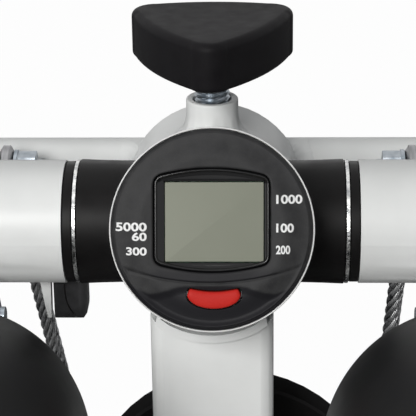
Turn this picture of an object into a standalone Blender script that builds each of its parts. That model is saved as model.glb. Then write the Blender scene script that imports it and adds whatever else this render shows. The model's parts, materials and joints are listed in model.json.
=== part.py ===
# Mini stepper: two pedal arms on one axle, a wire rope under a sheave that lets one pedal
# rise as the other goes down, two dampers, a height spindle with its knob, and a round
# monitor. Metres, +Z up. The user stands on the pedals at -Y and looks along +Y.

import math

import bmesh
import bpy
from mathutils import Matrix, Vector

MM = 0.001
GAP = 0.3 * MM  # between neighbouring pieces that touch
RUN = 0.3 * MM  # between pieces that turn or slide on each other

# Axle and what turns on it
AXLE_HEIGHT = 228 * MM
AXLE_RADIUS = 10 * MM
SLEEVE_RADIUS = 24.15 * MM
SLEEVE_WALL = 2.6 * MM
SLEEVE_START = 57 * MM
SLEEVE_LENGTH = 71.5 * MM
BUSH_FLANGE = 4 * MM
BUSH_DEPTH = 16 * MM
WASHER_THICKNESS = 1.5 * MM
SPACER_RADIUS = 24.4 * MM
SPACER_WAIST = 0.5 * MM
END_WASHER_RADIUS = 19 * MM
END_WASHER_THICKNESS = 2.5 * MM
END_BOLT_RADIUS = 5 * MM
END_BOLT_DEPTH = 22 * MM

# Hub barrel, cross bar and post
BARREL_RADIUS = 35.9 * MM
BARREL_WALL = 3.2 * MM
BARREL_FRONT = 27 * MM  # towards the user
BARREL_BACK = 49.5 * MM
BARREL_DROP = 4 * MM
BAR_RADIUS = 12.5 * MM
BAR_WALL = 2 * MM
BAR_HALF = 92 * MM
BAR_AHEAD = 60.5 * MM
BAR_RISE = -0.7 * MM
POST_WIDTH = 48 * MM
POST_WALL = 2.5 * MM
POST_CORNER = 5 * MM
POST_FOOT = 6 * MM
SLOT_WIDTH = 34 * MM

# Floor frame
FOOT_TUBE_RADIUS = 19 * MM
FRONT_TUBE_HALF = 128 * MM
REAR_TUBE_HALF = 128 * MM
REAR_TUBE_BEHIND = 256 * MM
TUBE_WALL = 2 * MM
CAP_WALL = 2.2 * MM
CAP_LENGTH = 17 * MM
CAP_INSET = 14 * MM
SPINE_WIDTH = 48 * MM
SPINE_HEIGHT = 28 * MM
SPINE_WALL = 2.5 * MM

# Pedal arms
ARM_X = 100 * MM
ARM_WIDTH = 20 * MM
ARM_HEIGHT = 34 * MM
ARM_WALL = 2.5 * MM
ARM_KNEE = 120 * MM
ARM_END = 226 * MM
ARM_LEVEL = 76.1 * MM  # below the axle, at the arm's straight rear run

# Pedals
PEDAL_X = 96.5 * MM
PEDAL_HALF_WIDTH = 58 * MM
HEEL_HALF_WIDTH = 53 * MM
NOSE_BEHIND = 112 * MM
NOSE_LENGTH = 85 * MM
HOOD_RISE = 47 * MM
HOOD_LEVEL = 45 * MM
HOOD_WALL = 4 * MM
PEDAL_END = 297 * MM
PEDAL_THICKNESS = 14 * MM
TREAD_INSET = 6 * MM
TREAD_DEPTH = 3 * MM
HOOD_MOUTH = 160 * MM
BULKHEAD = 122 * MM
RIB_PITCH = 9 * MM
RIB_WIDTH = 3.6 * MM
RIB_HEIGHT = 2 * MM
BRACKET_PLATE = 2.5 * MM
BRACKET_START = 124 * MM
BRACKET_END = 214 * MM
BOLT_BEHIND = 45 * MM
BOLT_DROP = 20 * MM
M8_RADIUS = 4 * MM
M8_FLATS = 13 * MM
NUT_HEIGHT = 6.5 * MM

# Dampers
DAMPER_RADIUS = 14 * MM
DAMPER_FOOT_DROP = 163 * MM
DAMPER_TOP_BEHIND = 205 * MM
DAMPER_TOP_DROP = 106 * MM
DAMPER_EYE = 9 * MM
DAMPER_BODY_START = 13 * MM
DAMPER_BODY_END = 128 * MM
ROD_RADIUS = 5 * MM
ROD_INSIDE = 60 * MM
PIN_RADIUS = 4 * MM
EYE_CLEARANCE = 2 * MM
EYE_WIDTH = 13 * MM
LUG_PLATE = 3 * MM

# Sheave, slider and spindle
SHEAVE_X = 6 * MM
SHEAVE_DROP = 158 * MM
SHEAVE_RADIUS = 64 * MM
SHEAVE_BACK = 40 * MM
SHEAVE_WIDTH = 16 * MM
ROPE_RADIUS = 3.5 * MM
ROPE_LINE = 60.5 * MM  # from the sheave's axis to the middle of the rope
SHEAVE_WEB = 6 * MM
SHEAVE_HUB = 15 * MM
SHEAVE_BOLT = 5 * MM
SLIDER_HEIGHT = 30 * MM
SLIDE_UP = 9 * MM
SLIDE_DOWN = 5 * MM
BOSS_RADIUS = 9 * MM
SPINDLE_AHEAD = 16 * MM
SPINDLE_RADIUS = 7 * MM
SPINDLE_LOWER = 5 * MM
SPINDLE_STEP = 20 * MM
SPINDLE_RING = 8 * MM
SPINDLE_RING_HEIGHT = 3 * MM
COLLAR_TOP = 45.7 * MM
COLLAR_RADIUS = 10.2 * MM
COLLAR_FLARE = 6 * MM
KNOB_BOTTOM = 59 * MM
KNOB_HEIGHT = 19 * MM
KNOB_REACH = 27.3 * MM
KNOB_CORNER = 8 * MM
KNOB_BOW = 1.3 * MM
KNOB_EDGE = 3 * MM

# Rope ends
ROPE_X = {"left": 85 * MM, "right": 80.5 * MM}
EYE_AHEAD = 36 * MM
EYE_RISE = 8 * MM
EYE_RADIUS = 7.3 * MM
EYE_WIRE = 2.8 * MM
ROPE_LUG = 4 * MM
FERRULE_LENGTH = 16 * MM
FERRULE_RADIUS = 5.6 * MM

# Monitor, in its own frame: right, up its face, out towards the user
MONITOR_X = 1.3 * MM
MONITOR_AHEAD = -50 * MM
MONITOR_RISE = 17.6 * MM
MONITOR_TILT = math.radians(20)
MONITOR_RADIUS = 36.8 * MM
HOUSING_RADIUS = 37.6 * MM
BEZEL_DEPTH = 7 * MM
BEZEL_WALL = 2 * MM
WINDOW_WIDTH = 42.8 * MM
WINDOW_HEIGHT = 35.4 * MM
WINDOW_BULGE = 1.5 * MM
WINDOW_UP = 3.6 * MM
SCREEN_WIDTH = 36 * MM
SCREEN_HEIGHT = 29 * MM
SCREEN_UP = 2.9 * MM
BUTTON_WIDTH = 19.2 * MM
BUTTON_HEIGHT = 7.6 * MM
BUTTON_DOWN = 24.5 * MM
HOUSING_BACK_RADIUS = 30 * MM

# Pickup of the stride counter
PICKUP_X = 56.5 * MM
PICKUP_WIDTH = 12.6 * MM
PICKUP_HEIGHT = 14 * MM
PICKUP_LENGTH = 16 * MM

FRONT_REACH = BAR_AHEAD + BAR_RADIUS
TUBE_LEVEL = FOOT_TUBE_RADIUS + CAP_WALL - AXLE_HEIGHT
SHEAVE_PLANE = SHEAVE_BACK + SHEAVE_WIDTH / 2
AXLE_Y = (PEDAL_END - FRONT_REACH) / 2
SIDES = {"left": -1, "right": 1}


def at(x, ahead, rise):
    """World point from its place beside, ahead of and above the middle of the axle."""
    return Vector((x, AXLE_Y + ahead, AXLE_HEIGHT + rise))


def paint(name, colour, roughness, metallic=0.0):
    material = bpy.data.materials.new(name)
    material.use_nodes = True
    shader = material.node_tree.nodes["Principled BSDF"]
    shader.inputs["Base Color"].default_value = (*colour, 1)
    shader.inputs["Roughness"].default_value = roughness
    shader.inputs["Metallic"].default_value = metallic
    return material


def facing(axis):
    """Turns a shape made along +Z to run along a world axis."""
    return Vector(axis).to_track_quat("Z", "Y").to_matrix().to_4x4()


def place(bm, name, material, origin=(0, 0, 0), smooth=35):
    """Makes an object of a mesh in world space, with its origin on the given point."""
    bmesh.ops.remove_doubles(bm, verts=bm.verts, dist=1e-6)
    bmesh.ops.recalc_face_normals(bm, faces=bm.faces)
    bm.transform(Matrix.Translation(-Vector(origin)))
    mesh = bpy.data.meshes.new(name)
    bm.to_mesh(mesh)
    bm.free()
    if smooth:
        mesh.shade_smooth()
        mesh.set_sharp_from_angle(angle=math.radians(smooth))
    mesh.materials.append(material)
    obj = bpy.data.objects.new(name, mesh)
    obj.location = origin
    bpy.context.scene.collection.objects.link(obj)
    return obj


def combine(obj, tool, operation):
    """Adds a Boolean to an object, with a hidden helper as its other shape."""
    tool.hide_render = True
    tool.display_type = "WIRE"
    modifier = obj.modifiers.new(f"{operation} {tool.name}", "BOOLEAN")
    modifier.operation = operation
    modifier.solver = "EXACT"
    modifier.object = tool


def cut(obj, *tools):
    for tool in tools:
        combine(obj, tool, "DIFFERENCE")


def join(obj, *tools):
    for tool in tools:
        combine(obj, tool, "UNION")


def turned(profile, centre, axis, steps=48, closed=False):
    """Revolves (radius, height) points about a line. A closed profile makes a ring."""
    bm = bmesh.new()
    verts = [bm.verts.new((radius, 0, height)) for radius, height in profile]
    pairs = list(zip(verts, verts[1:]))
    if closed:
        pairs.append((verts[-1], verts[0]))
    edges = [bm.edges.new(pair) for pair in pairs]
    bmesh.ops.spin(
        bm, geom=verts + edges, cent=(0, 0, 0), axis=(0, 0, 1), angle=math.tau, steps=steps
    )
    bmesh.ops.remove_doubles(bm, verts=bm.verts, dist=1e-6)
    bm.transform(Matrix.Translation(centre) @ facing(axis))
    return bm


def rod(radius, length, centre, axis, steps=32):
    """Solid cylinder that starts at centre and runs along axis."""
    return turned([(0, length), (radius, length), (radius, 0), (0, 0)], centre, axis, steps)


def tube(radius, bore, length, centre, axis, steps=48):
    profile = [(radius, length), (radius, 0), (bore, 0), (bore, length)]
    return turned(profile, centre, axis, steps, closed=True)


def block(low, high):
    """Box between two corners."""
    bm = bmesh.new()
    bmesh.ops.create_cube(bm, size=1)
    low, high = Vector(low), Vector(high)
    for vert in bm.verts:
        vert.co = (low + high) / 2 + vert.co * (high - low)
    return bm


def prism(outline, depth, frame):
    """Extrudes a flat outline from z = 0 to depth in the given frame."""
    bm = bmesh.new()
    face = bm.faces.new([bm.verts.new((x, y, 0)) for x, y in outline])
    made = bmesh.ops.extrude_face_region(bm, geom=[face])["geom"]
    moved = [item for item in made if isinstance(item, bmesh.types.BMVert)]
    bmesh.ops.translate(bm, verts=moved, vec=(0, 0, depth))
    bm.transform(frame)
    return bm


def side_frame(x):
    """Frame of a side profile: its x runs ahead, its y up, its z to the right."""
    rows = Matrix(((0, 0, 1, 0), (1, 0, 0, 0), (0, 1, 0, 0), (0, 0, 0, 1)))
    return Matrix.Translation(at(x, 0, 0)) @ rows


def front_frame(ahead):
    """Frame of a front outline: its x runs to the right, its y up, its z towards the user."""
    rows = Matrix(((1, 0, 0, 0), (0, 0, -1, 0), (0, 1, 0, 0), (0, 0, 0, 1)))
    return Matrix.Translation(at(0, ahead, 0)) @ rows


def arc(centre, radius, start, end, steps):
    """Points on a circle from one angle to another, in degrees."""
    angles = [math.radians(start + (end - start) * i / steps) for i in range(steps + 1)]
    return [(centre[0] + radius * math.cos(a), centre[1] + radius * math.sin(a)) for a in angles]


def rounded_box(width, height, corner, steps=4):
    """Outline of a rectangle with round corners."""
    points = []
    for start, x, y in ((0, 1, 1), (90, -1, 1), (180, -1, -1), (270, 1, -1)):
        centre = (x * (width / 2 - corner), y * (height / 2 - corner))
        points += arc(centre, corner, start, start + 90, steps)
    return points


def stepped(sections, centre, axis, count=12):
    """Shape through coaxial sections along axis, each a (kind, half width, height), closed at both ends."""
    bm = bmesh.new()
    loops = []
    for kind, half, height in sections:
        ring = []
        for i in range(count):
            a = math.tau * i / count
            radius = half
            if kind == "hex":
                radius = half / math.cos((a % (math.tau / 6)) - math.tau / 12)
            ring.append(bm.verts.new((radius * math.cos(a), radius * math.sin(a), height)))
        loops.append(ring)
    for low, high in zip(loops, loops[1:]):
        for i in range(count):
            j = (i + 1) % count
            bm.faces.new((low[i], low[j], high[j], high[i]))
    bm.faces.new(loops[0])
    bm.faces.new(loops[-1])
    bm.transform(Matrix.Translation(centre) @ facing(axis))
    return bm


def bolt(name, start, axis, grip, radius, flats, head, nut, material, origin):
    """Hex bolt with its washers and its nut as one piece. The grip runs from start along axis."""
    plate = 1.6 * MM
    wide = flats * 0.62
    half = flats / 2
    top = grip + plate
    end = top + nut + 2.4 * MM
    sections = [
        ("hex", half, -plate - head), ("hex", half, -plate), ("round", wide, -plate),
        ("round", wide, 0), ("round", radius, 0), ("round", radius, grip), ("round", wide, grip),
        ("round", wide, top), ("hex", half, top), ("hex", half, top + nut),
        ("round", radius, top + nut), ("round", radius, end),
    ]
    return place(stepped(sections, start, axis), name, material, origin, smooth=32)


def axle_line(x):
    """Point of the axle's axis, the origin of all that turns with an arm."""
    return at(x, 0, 0)


def floor_frame(white, rubber):
    tubes = {
        "front": (0.0, FRONT_TUBE_HALF),
        "rear": (-REAR_TUBE_BEHIND, REAR_TUBE_HALF),
    }
    bore = FOOT_TUBE_RADIUS - TUBE_WALL
    for name, (ahead, half) in tubes.items():
        centre = at(-half, ahead, TUBE_LEVEL)
        shape = tube(FOOT_TUBE_RADIUS, bore, 2 * half, centre, (1, 0, 0), 32)
        crossing = place(shape, f"{name}_stabiliser", white)
        if name == "front":
            for side, sign in SIDES.items():
                join(crossing, *damper_lugs(side, sign, white))
        for side, sign in SIDES.items():
            floor_cap(f"{name}_cap_{side}", sign, half, ahead, rubber)
    start = POST_WIDTH / 2 + GAP
    frame = Matrix.Translation(at(0, -REAR_TUBE_BEHIND, TUBE_LEVEL)) @ facing((0, 1, 0))
    length = REAR_TUBE_BEHIND - start
    outer = prism(rounded_box(SPINE_WIDTH, SPINE_HEIGHT, 3 * MM), length, frame)
    spine = place(outer, "base_spine", white)
    inner_box = rounded_box(SPINE_WIDTH - 2 * SPINE_WALL, SPINE_HEIGHT - 2 * SPINE_WALL, 1 * MM)
    longer = frame @ Matrix.Translation((0, 0, -5 * MM))
    cut(spine, place(prism(inner_box, length + 10 * MM, longer), "spine bore", white))
    reach = SPINE_WIDTH
    saddle = rod(FOOT_TUBE_RADIUS + GAP, 2 * reach, at(-reach, -REAR_TUBE_BEHIND, TUBE_LEVEL),
                 (1, 0, 0))
    cut(spine, place(saddle, "spine saddle", white))


def damper_lugs(side, sign, white):
    """Two plates on the front tube that hold a damper's foot pin."""
    lugs = []
    inner = EYE_WIDTH / 2 + GAP
    for face in (-1, 1):
        x = sign * ARM_X + (inner if face > 0 else -inner - LUG_PLATE)
        low = TUBE_LEVEL + 12 * MM
        outline = [(-14 * MM, low), (14 * MM, low)]
        outline += arc((0, -DAMPER_FOOT_DROP), 8 * MM, 0, 180, 6)
        lug = place(prism(outline, LUG_PLATE, side_frame(x)), f"{side} lug {face}", white)
        hole = rod(PIN_RADIUS + GAP, LUG_PLATE * 3, at(x - LUG_PLATE, 0, -DAMPER_FOOT_DROP),
                   (1, 0, 0), 12)
        cut(lug, place(hole, f"{side} lug hole {face}", white))
        lugs.append(lug)
    return lugs


def floor_cap(name, sign, half, ahead, rubber):
    """Rubber cup over a tube's end, with a flat foot."""
    outer = FOOT_TUBE_RADIUS + CAP_WALL
    start = half - CAP_LENGTH + CAP_WALL + GAP
    profile = [
        (0, CAP_LENGTH), (outer - 4 * MM, CAP_LENGTH), (outer - 1.2 * MM, CAP_LENGTH - 1.2 * MM),
        (outer, CAP_LENGTH - 4 * MM), (outer, 0), (FOOT_TUBE_RADIUS + GAP, 0),
        (FOOT_TUBE_RADIUS + GAP, CAP_LENGTH - CAP_WALL), (0, CAP_LENGTH - CAP_WALL),
    ]
    cup = turned(profile, at(sign * start, ahead, TUBE_LEVEL), (sign, 0, 0), 28)
    cap = place(cup, name, rubber)
    floor = -AXLE_HEIGHT
    x = sorted((sign * start, sign * (start + CAP_LENGTH - 3 * MM)))
    foot = block(at(x[0] + 0.4 * MM, ahead - 13 * MM, floor),
                 at(x[1], ahead + 13 * MM, TUBE_LEVEL - FOOT_TUBE_RADIUS * 0.55))
    pad = place(foot, f"{name} pad", rubber)
    tunnel = rod(FOOT_TUBE_RADIUS + GAP, CAP_LENGTH - CAP_WALL + 1 * MM,
                 at(sign * (start - 1 * MM), ahead, TUBE_LEVEL), (sign, 0, 0), 28)
    cut(pad, place(tunnel, f"{name} tunnel", rubber))
    join(cap, pad)


def post_and_hub(white):
    barrel_axis = at(0, -BARREL_FRONT, -BARREL_DROP)
    length = BARREL_FRONT + BARREL_BACK
    shape = tube(BARREL_RADIUS, BARREL_RADIUS - BARREL_WALL, length, barrel_axis, (0, 1, 0), 48)
    barrel = place(shape, "hub_barrel", white)
    across = 2 * BARREL_RADIUS + 20 * MM
    axle_hole = rod(AXLE_RADIUS + GAP, across, at(-across / 2, 0, 0), (1, 0, 0))
    bar_seat = rod(BAR_RADIUS + GAP, across, at(-across / 2, BAR_AHEAD, BAR_RISE), (1, 0, 0), 48)
    spindle_hole = rod(SPINDLE_RADIUS + 0.5 * MM, across, at(0, SPINDLE_AHEAD, -across / 2),
                       (0, 0, 1))
    cut(barrel, place(axle_hole, "axle hole", white), place(bar_seat, "bar seat", white),
        place(spindle_hole, "spindle hole", white))

    seat = rod(BARREL_RADIUS + GAP, length + 20 * MM, at(0, -BARREL_FRONT - 10 * MM, -BARREL_DROP),
               (0, 1, 0), 48)
    barrel_seat = place(seat, "barrel seat", white)
    foot = POST_FOOT - AXLE_HEIGHT
    frame = Matrix.Translation(at(0, 0, foot))
    tall = -foot - BARREL_DROP - 20 * MM
    post = place(prism(rounded_box(POST_WIDTH, POST_WIDTH, POST_CORNER), tall, frame), "post",
                 white)
    room = POST_WIDTH - 2 * POST_WALL
    longer = Matrix.Translation(at(0, 0, foot - 5 * MM))
    bore = prism(rounded_box(room, room, POST_CORNER - POST_WALL), tall + 10 * MM, longer)
    foot_hole = rod(FOOT_TUBE_RADIUS + GAP, POST_WIDTH * 2,
                    at(-POST_WIDTH, 0, TUBE_LEVEL), (1, 0, 0), 48)
    clear = SLIDER_HEIGHT / 2 + SPINDLE_RING_HEIGHT + 2 * MM
    slot_low = -SHEAVE_DROP - clear - SLIDE_DOWN
    slot_high = -SHEAVE_DROP + clear + SLIDE_UP
    slot = block(at(-SLOT_WIDTH / 2, POST_WIDTH / 4, slot_low),
                 at(SLOT_WIDTH / 2, POST_WIDTH, slot_high))
    cut(post, place(bore, "post bore", white), barrel_seat,
        place(foot_hole, "foot tube hole", white), place(slot, "slider slot", white))

    middle = at(0, SPINDLE_AHEAD, 0)
    hole = SPINDLE_RADIUS + 0.5 * MM
    neck = BARREL_RADIUS - BARREL_DROP + COLLAR_FLARE + 2 * GAP
    profile = [(hole, COLLAR_TOP), (COLLAR_RADIUS - 0.8 * MM, COLLAR_TOP),
               (COLLAR_RADIUS, COLLAR_TOP - 0.8 * MM), (COLLAR_RADIUS, neck)]
    for i in range(1, 5):
        a = math.radians(22.5 * i)
        profile.append((COLLAR_RADIUS + COLLAR_FLARE * (1 - math.cos(a)),
                        neck - COLLAR_FLARE * math.sin(a)))
    profile += [(COLLAR_RADIUS + COLLAR_FLARE, neck - 3 * COLLAR_FLARE),
                (hole, neck - 3 * COLLAR_FLARE)]
    collar = place(turned(profile, middle, (0, 0, 1), 28, closed=True), "spindle_collar", white)
    cut(collar, barrel_seat)


def cross_bar(white, rubber):
    start = at(-BAR_HALF, BAR_AHEAD, BAR_RISE)
    shape = tube(BAR_RADIUS, BAR_RADIUS - BAR_WALL, 2 * BAR_HALF, start, (1, 0, 0), 32)
    place(shape, "cross_bar", white)
    plug_radius = BAR_RADIUS - BAR_WALL - GAP
    for side, sign in SIDES.items():
        profile = [(0, 3 * MM), (BAR_RADIUS - 2 * MM, 3 * MM), (BAR_RADIUS, 1 * MM),
                   (BAR_RADIUS, GAP), (plug_radius, GAP), (plug_radius, -CAP_INSET),
                   (0, -CAP_INSET)]
        plug = turned(profile, at(sign * BAR_HALF, BAR_AHEAD, BAR_RISE), (sign, 0, 0), 24)
        place(plug, f"bar_plug_{side}", rubber)


def axle_and_bushes(steel, bright, plastic, zinc, barrel_seat):
    end = SLEEVE_START + SLEEVE_LENGTH + BUSH_FLANGE
    half = end + GAP
    bar = place(rod(AXLE_RADIUS, 2 * half, at(-half, 0, 0), (1, 0, 0), 28), "axle", steel)
    for side, sign in SIDES.items():
        tapped = rod(END_BOLT_RADIUS + GAP, END_BOLT_DEPTH + 6 * MM,
                     at(sign * (half + 2 * MM), 0, 0), (-sign, 0, 0), 16)
        cut(bar, place(tapped, f"tapped hole {side}", steel))
        bore = AXLE_RADIUS + RUN
        body = SLEEVE_RADIUS - SLEEVE_WALL - GAP
        flange = SLEEVE_RADIUS - 0.4 * MM
        for spot, face, into in (("inner", SLEEVE_START, 1), ("outer", end - BUSH_FLANGE, -1)):
            profile = [(flange, -BUSH_FLANGE + GAP), (flange, -GAP), (body, -GAP),
                       (body, BUSH_DEPTH), (bore, BUSH_DEPTH), (bore, -BUSH_FLANGE + GAP)]
            bush = turned(profile, at(sign * face, 0, 0), (sign * into, 0, 0), 24, closed=True)
            place(bush, f"{spot}_bush_{side}", plastic, axle_line(sign * face))
        washer_face = SLEEVE_START - BUSH_FLANGE - WASHER_THICKNESS
        ring = tube(SPACER_RADIUS - 0.2 * MM, bore, WASHER_THICKNESS,
                    at(sign * washer_face, 0, 0), (sign, 0, 0), 32)
        place(ring, f"thrust_washer_{side}", bright)
        outer = washer_face - GAP
        waist = SPACER_RADIUS - SPACER_WAIST
        inner = BARREL_RADIUS * 0.6
        length = outer - inner
        profile = [(SPACER_RADIUS, length), (SPACER_RADIUS, length - 1 * MM),
                   (waist + 0.2 * MM, length * 0.72), (waist, length * 0.45), (waist, 0),
                   (bore, 0), (bore, length)]
        spacer = place(turned(profile, at(sign * inner, 0, 0), (sign, 0, 0), 32, closed=True),
                       f"spacer_{side}", plastic)
        cut(spacer, barrel_seat)
        face = half + GAP
        rim = END_WASHER_RADIUS
        sections = [
            ("round", END_BOLT_RADIUS - 0.6 * MM, -END_BOLT_DEPTH),
            ("round", END_BOLT_RADIUS, 1 * MM - END_BOLT_DEPTH), ("round", END_BOLT_RADIUS, 0),
            ("round", rim, 0), ("round", rim, END_WASHER_THICKNESS - 1 * MM),
            ("round", rim - 1 * MM, END_WASHER_THICKNESS), ("hex", 8.5 * MM, END_WASHER_THICKNESS),
            ("hex", 8.5 * MM, END_WASHER_THICKNESS + 5.6 * MM),
            ("round", 7.6 * MM, END_WASHER_THICKNESS + 6.4 * MM),
        ]
        place(stepped(sections, at(sign * face, 0, 0), (sign, 0, 0), 18), f"end_bolt_{side}", zinc)


def arm_line(behind):
    """Height of the arm's middle line below the axle, at a distance behind it."""
    if behind >= ARM_KNEE:
        return ARM_LEVEL
    start, drop = 12 * MM, 10 * MM
    return drop + (ARM_LEVEL - drop) * (behind - start) / (ARM_KNEE - start)


def arm_profile(grow, start, end):
    """Side outline of the arm tube between two distances behind the axle, grown by a margin."""
    half = ARM_HEIGHT / 2 + grow
    slope = math.atan2(arm_line(ARM_KNEE) - arm_line(start), ARM_KNEE - start)
    rise = half / math.cos(slope)
    shift = half * math.tan(slope / 2)
    knee = -ARM_LEVEL
    low = [(-start, -arm_line(start) - rise), (-ARM_KNEE - shift, knee - half), (-end, knee - half)]
    top = [(-start, -arm_line(start) + rise), (-ARM_KNEE + shift, knee + half), (-end, knee + half)]
    return low + top[::-1]


def pedal_arm(side, sign, white):
    """Sleeve, bent rectangular arm, rope lugs, damper lugs and counter lug, welded together."""
    origin = axle_line(sign * ARM_X)
    start = sign * SLEEVE_START
    bore = SLEEVE_RADIUS - SLEEVE_WALL
    sleeve = tube(SLEEVE_RADIUS, bore, SLEEVE_LENGTH, at(start, 0, 0), (sign, 0, 0), 48)
    arm = place(sleeve, f"pedal_arm_{side}", white, origin)
    core = rod(bore + SLEEVE_WALL / 2, SLEEVE_LENGTH + 8 * MM, at(start - sign * 4 * MM, 0, 0),
               (sign, 0, 0), 40)
    core = place(core, f"sleeve core {side}", white)

    def weld(bm, name):
        piece = place(bm, f"{name} {side}", white)
        cut(piece, core)
        join(arm, piece)

    x = sign * ARM_X
    weld(prism(arm_profile(0, 10 * MM, ARM_END), ARM_WIDTH, side_frame(x - ARM_WIDTH / 2)), "box")
    for face in (-1, 1):
        inner = EYE_WIDTH / 2 + GAP
        plate_x = x + (inner if face > 0 else -inner - LUG_PLATE)
        outline = [(-DAMPER_TOP_BEHIND + 14 * MM, -ARM_LEVEL),
                   (-DAMPER_TOP_BEHIND - 14 * MM, -ARM_LEVEL)]
        centre = (-DAMPER_TOP_BEHIND, -DAMPER_TOP_DROP)
        outline += arc(centre, 8 * MM, 180, 360, 6)
        lug = prism(outline, LUG_PLATE, side_frame(plate_x))
        join(arm, place(lug, f"damper lug {side} {face}", white))
    outline = arc((EYE_AHEAD, EYE_RISE), 7.5 * MM, -90, 90, 10)
    outline += [(10 * MM, 19 * MM), (10 * MM, -1 * MM)]
    near = ROPE_X[side] + ROPE_RADIUS + 2 * GAP
    plate_x = near if sign > 0 else -near - ROPE_LUG
    weld(prism(outline, ROPE_LUG, side_frame(plate_x)), "rope lug")
    if side == "left":
        taper = [(-69.6 * MM, -20 * MM), (-64.4 * MM, -20 * MM), (-64.8 * MM, -41 * MM),
                 (-66.4 * MM, -41 * MM)]
        weld(prism(taper, 5 * MM, front_frame(2.5 * MM)), "counter lug")
    inside = ARM_WIDTH - 2 * ARM_WALL
    outline = arm_profile(-ARM_WALL, 34 * MM, ARM_END + 5 * MM)
    hollow = prism(outline, inside, side_frame(x - inside / 2))
    wide = EYE_WIDTH + 4 * LUG_PLATE
    pin = rod(PIN_RADIUS + GAP, wide, at(x - wide / 2, -DAMPER_TOP_BEHIND, -DAMPER_TOP_DROP),
              (1, 0, 0), 12)
    rope_pin = rod(M8_RADIUS + GAP, 40 * MM, at(sign * ROPE_X[side] - 20 * MM, EYE_AHEAD, EYE_RISE),
                   (1, 0, 0), 20)
    pedal_pin = rod(M8_RADIUS + GAP, 40 * MM, at(x - 20 * MM, -BOLT_BEHIND, -BOLT_DROP),
                    (1, 0, 0), 20)
    cut(arm, place(hollow, f"arm bore {side}", white),
        place(pin, f"damper hole {side}", white),
        place(rope_pin, f"rope hole {side}", white), place(pedal_pin, f"bolt hole {side}", white))


def pedal_outline(shrink=0.0, front=None):
    """Plan of a pedal: a half ellipse for the toe, nearly straight sides and a round heel."""
    points = []
    half = PEDAL_HALF_WIDTH - shrink
    if front is None:
        for i in range(33):
            a = math.radians(180 * i / 32)
            points.append((half * math.cos(a),
                           -NOSE_BEHIND + (NOSE_LENGTH - shrink) * math.sin(a)))
    else:
        points += [(half, -front), (-half, -front)]
    heel = HEEL_HALF_WIDTH - shrink
    corner = 30 * MM - shrink
    end = -PEDAL_END + shrink
    points += arc((-heel + corner, end + corner), corner, 180, 270, 8)
    points += arc((heel - corner, end + corner), corner, 270, 360, 8)
    return points


def dome(x, centre, axes, steps=32, rings=7):
    """Upper half of an ellipsoid, closed by a flat base."""
    bm = bmesh.new()
    profile = [(math.cos(a), math.sin(a)) for a in
               (math.radians(90 * i / rings) for i in range(rings + 1))]
    loops = []
    for radius, height in profile[:-1]:
        loops.append([bm.verts.new((radius * math.cos(t), radius * math.sin(t), height))
                      for t in (math.tau * i / steps for i in range(steps))])
    top = bm.verts.new((0, 0, 1))
    for low, high in zip(loops, loops[1:]):
        for i in range(steps):
            j = (i + 1) % steps
            bm.faces.new((low[i], low[j], high[j], high[i]))
    for i in range(steps):
        bm.faces.new((loops[-1][i], loops[-1][(i + 1) % steps], top))
    bm.faces.new(loops[0][::-1])
    spot = Matrix.Translation(at(x, *centre))
    bm.transform(spot @ Matrix.Diagonal((*axes, 1)))
    return bm


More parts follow.
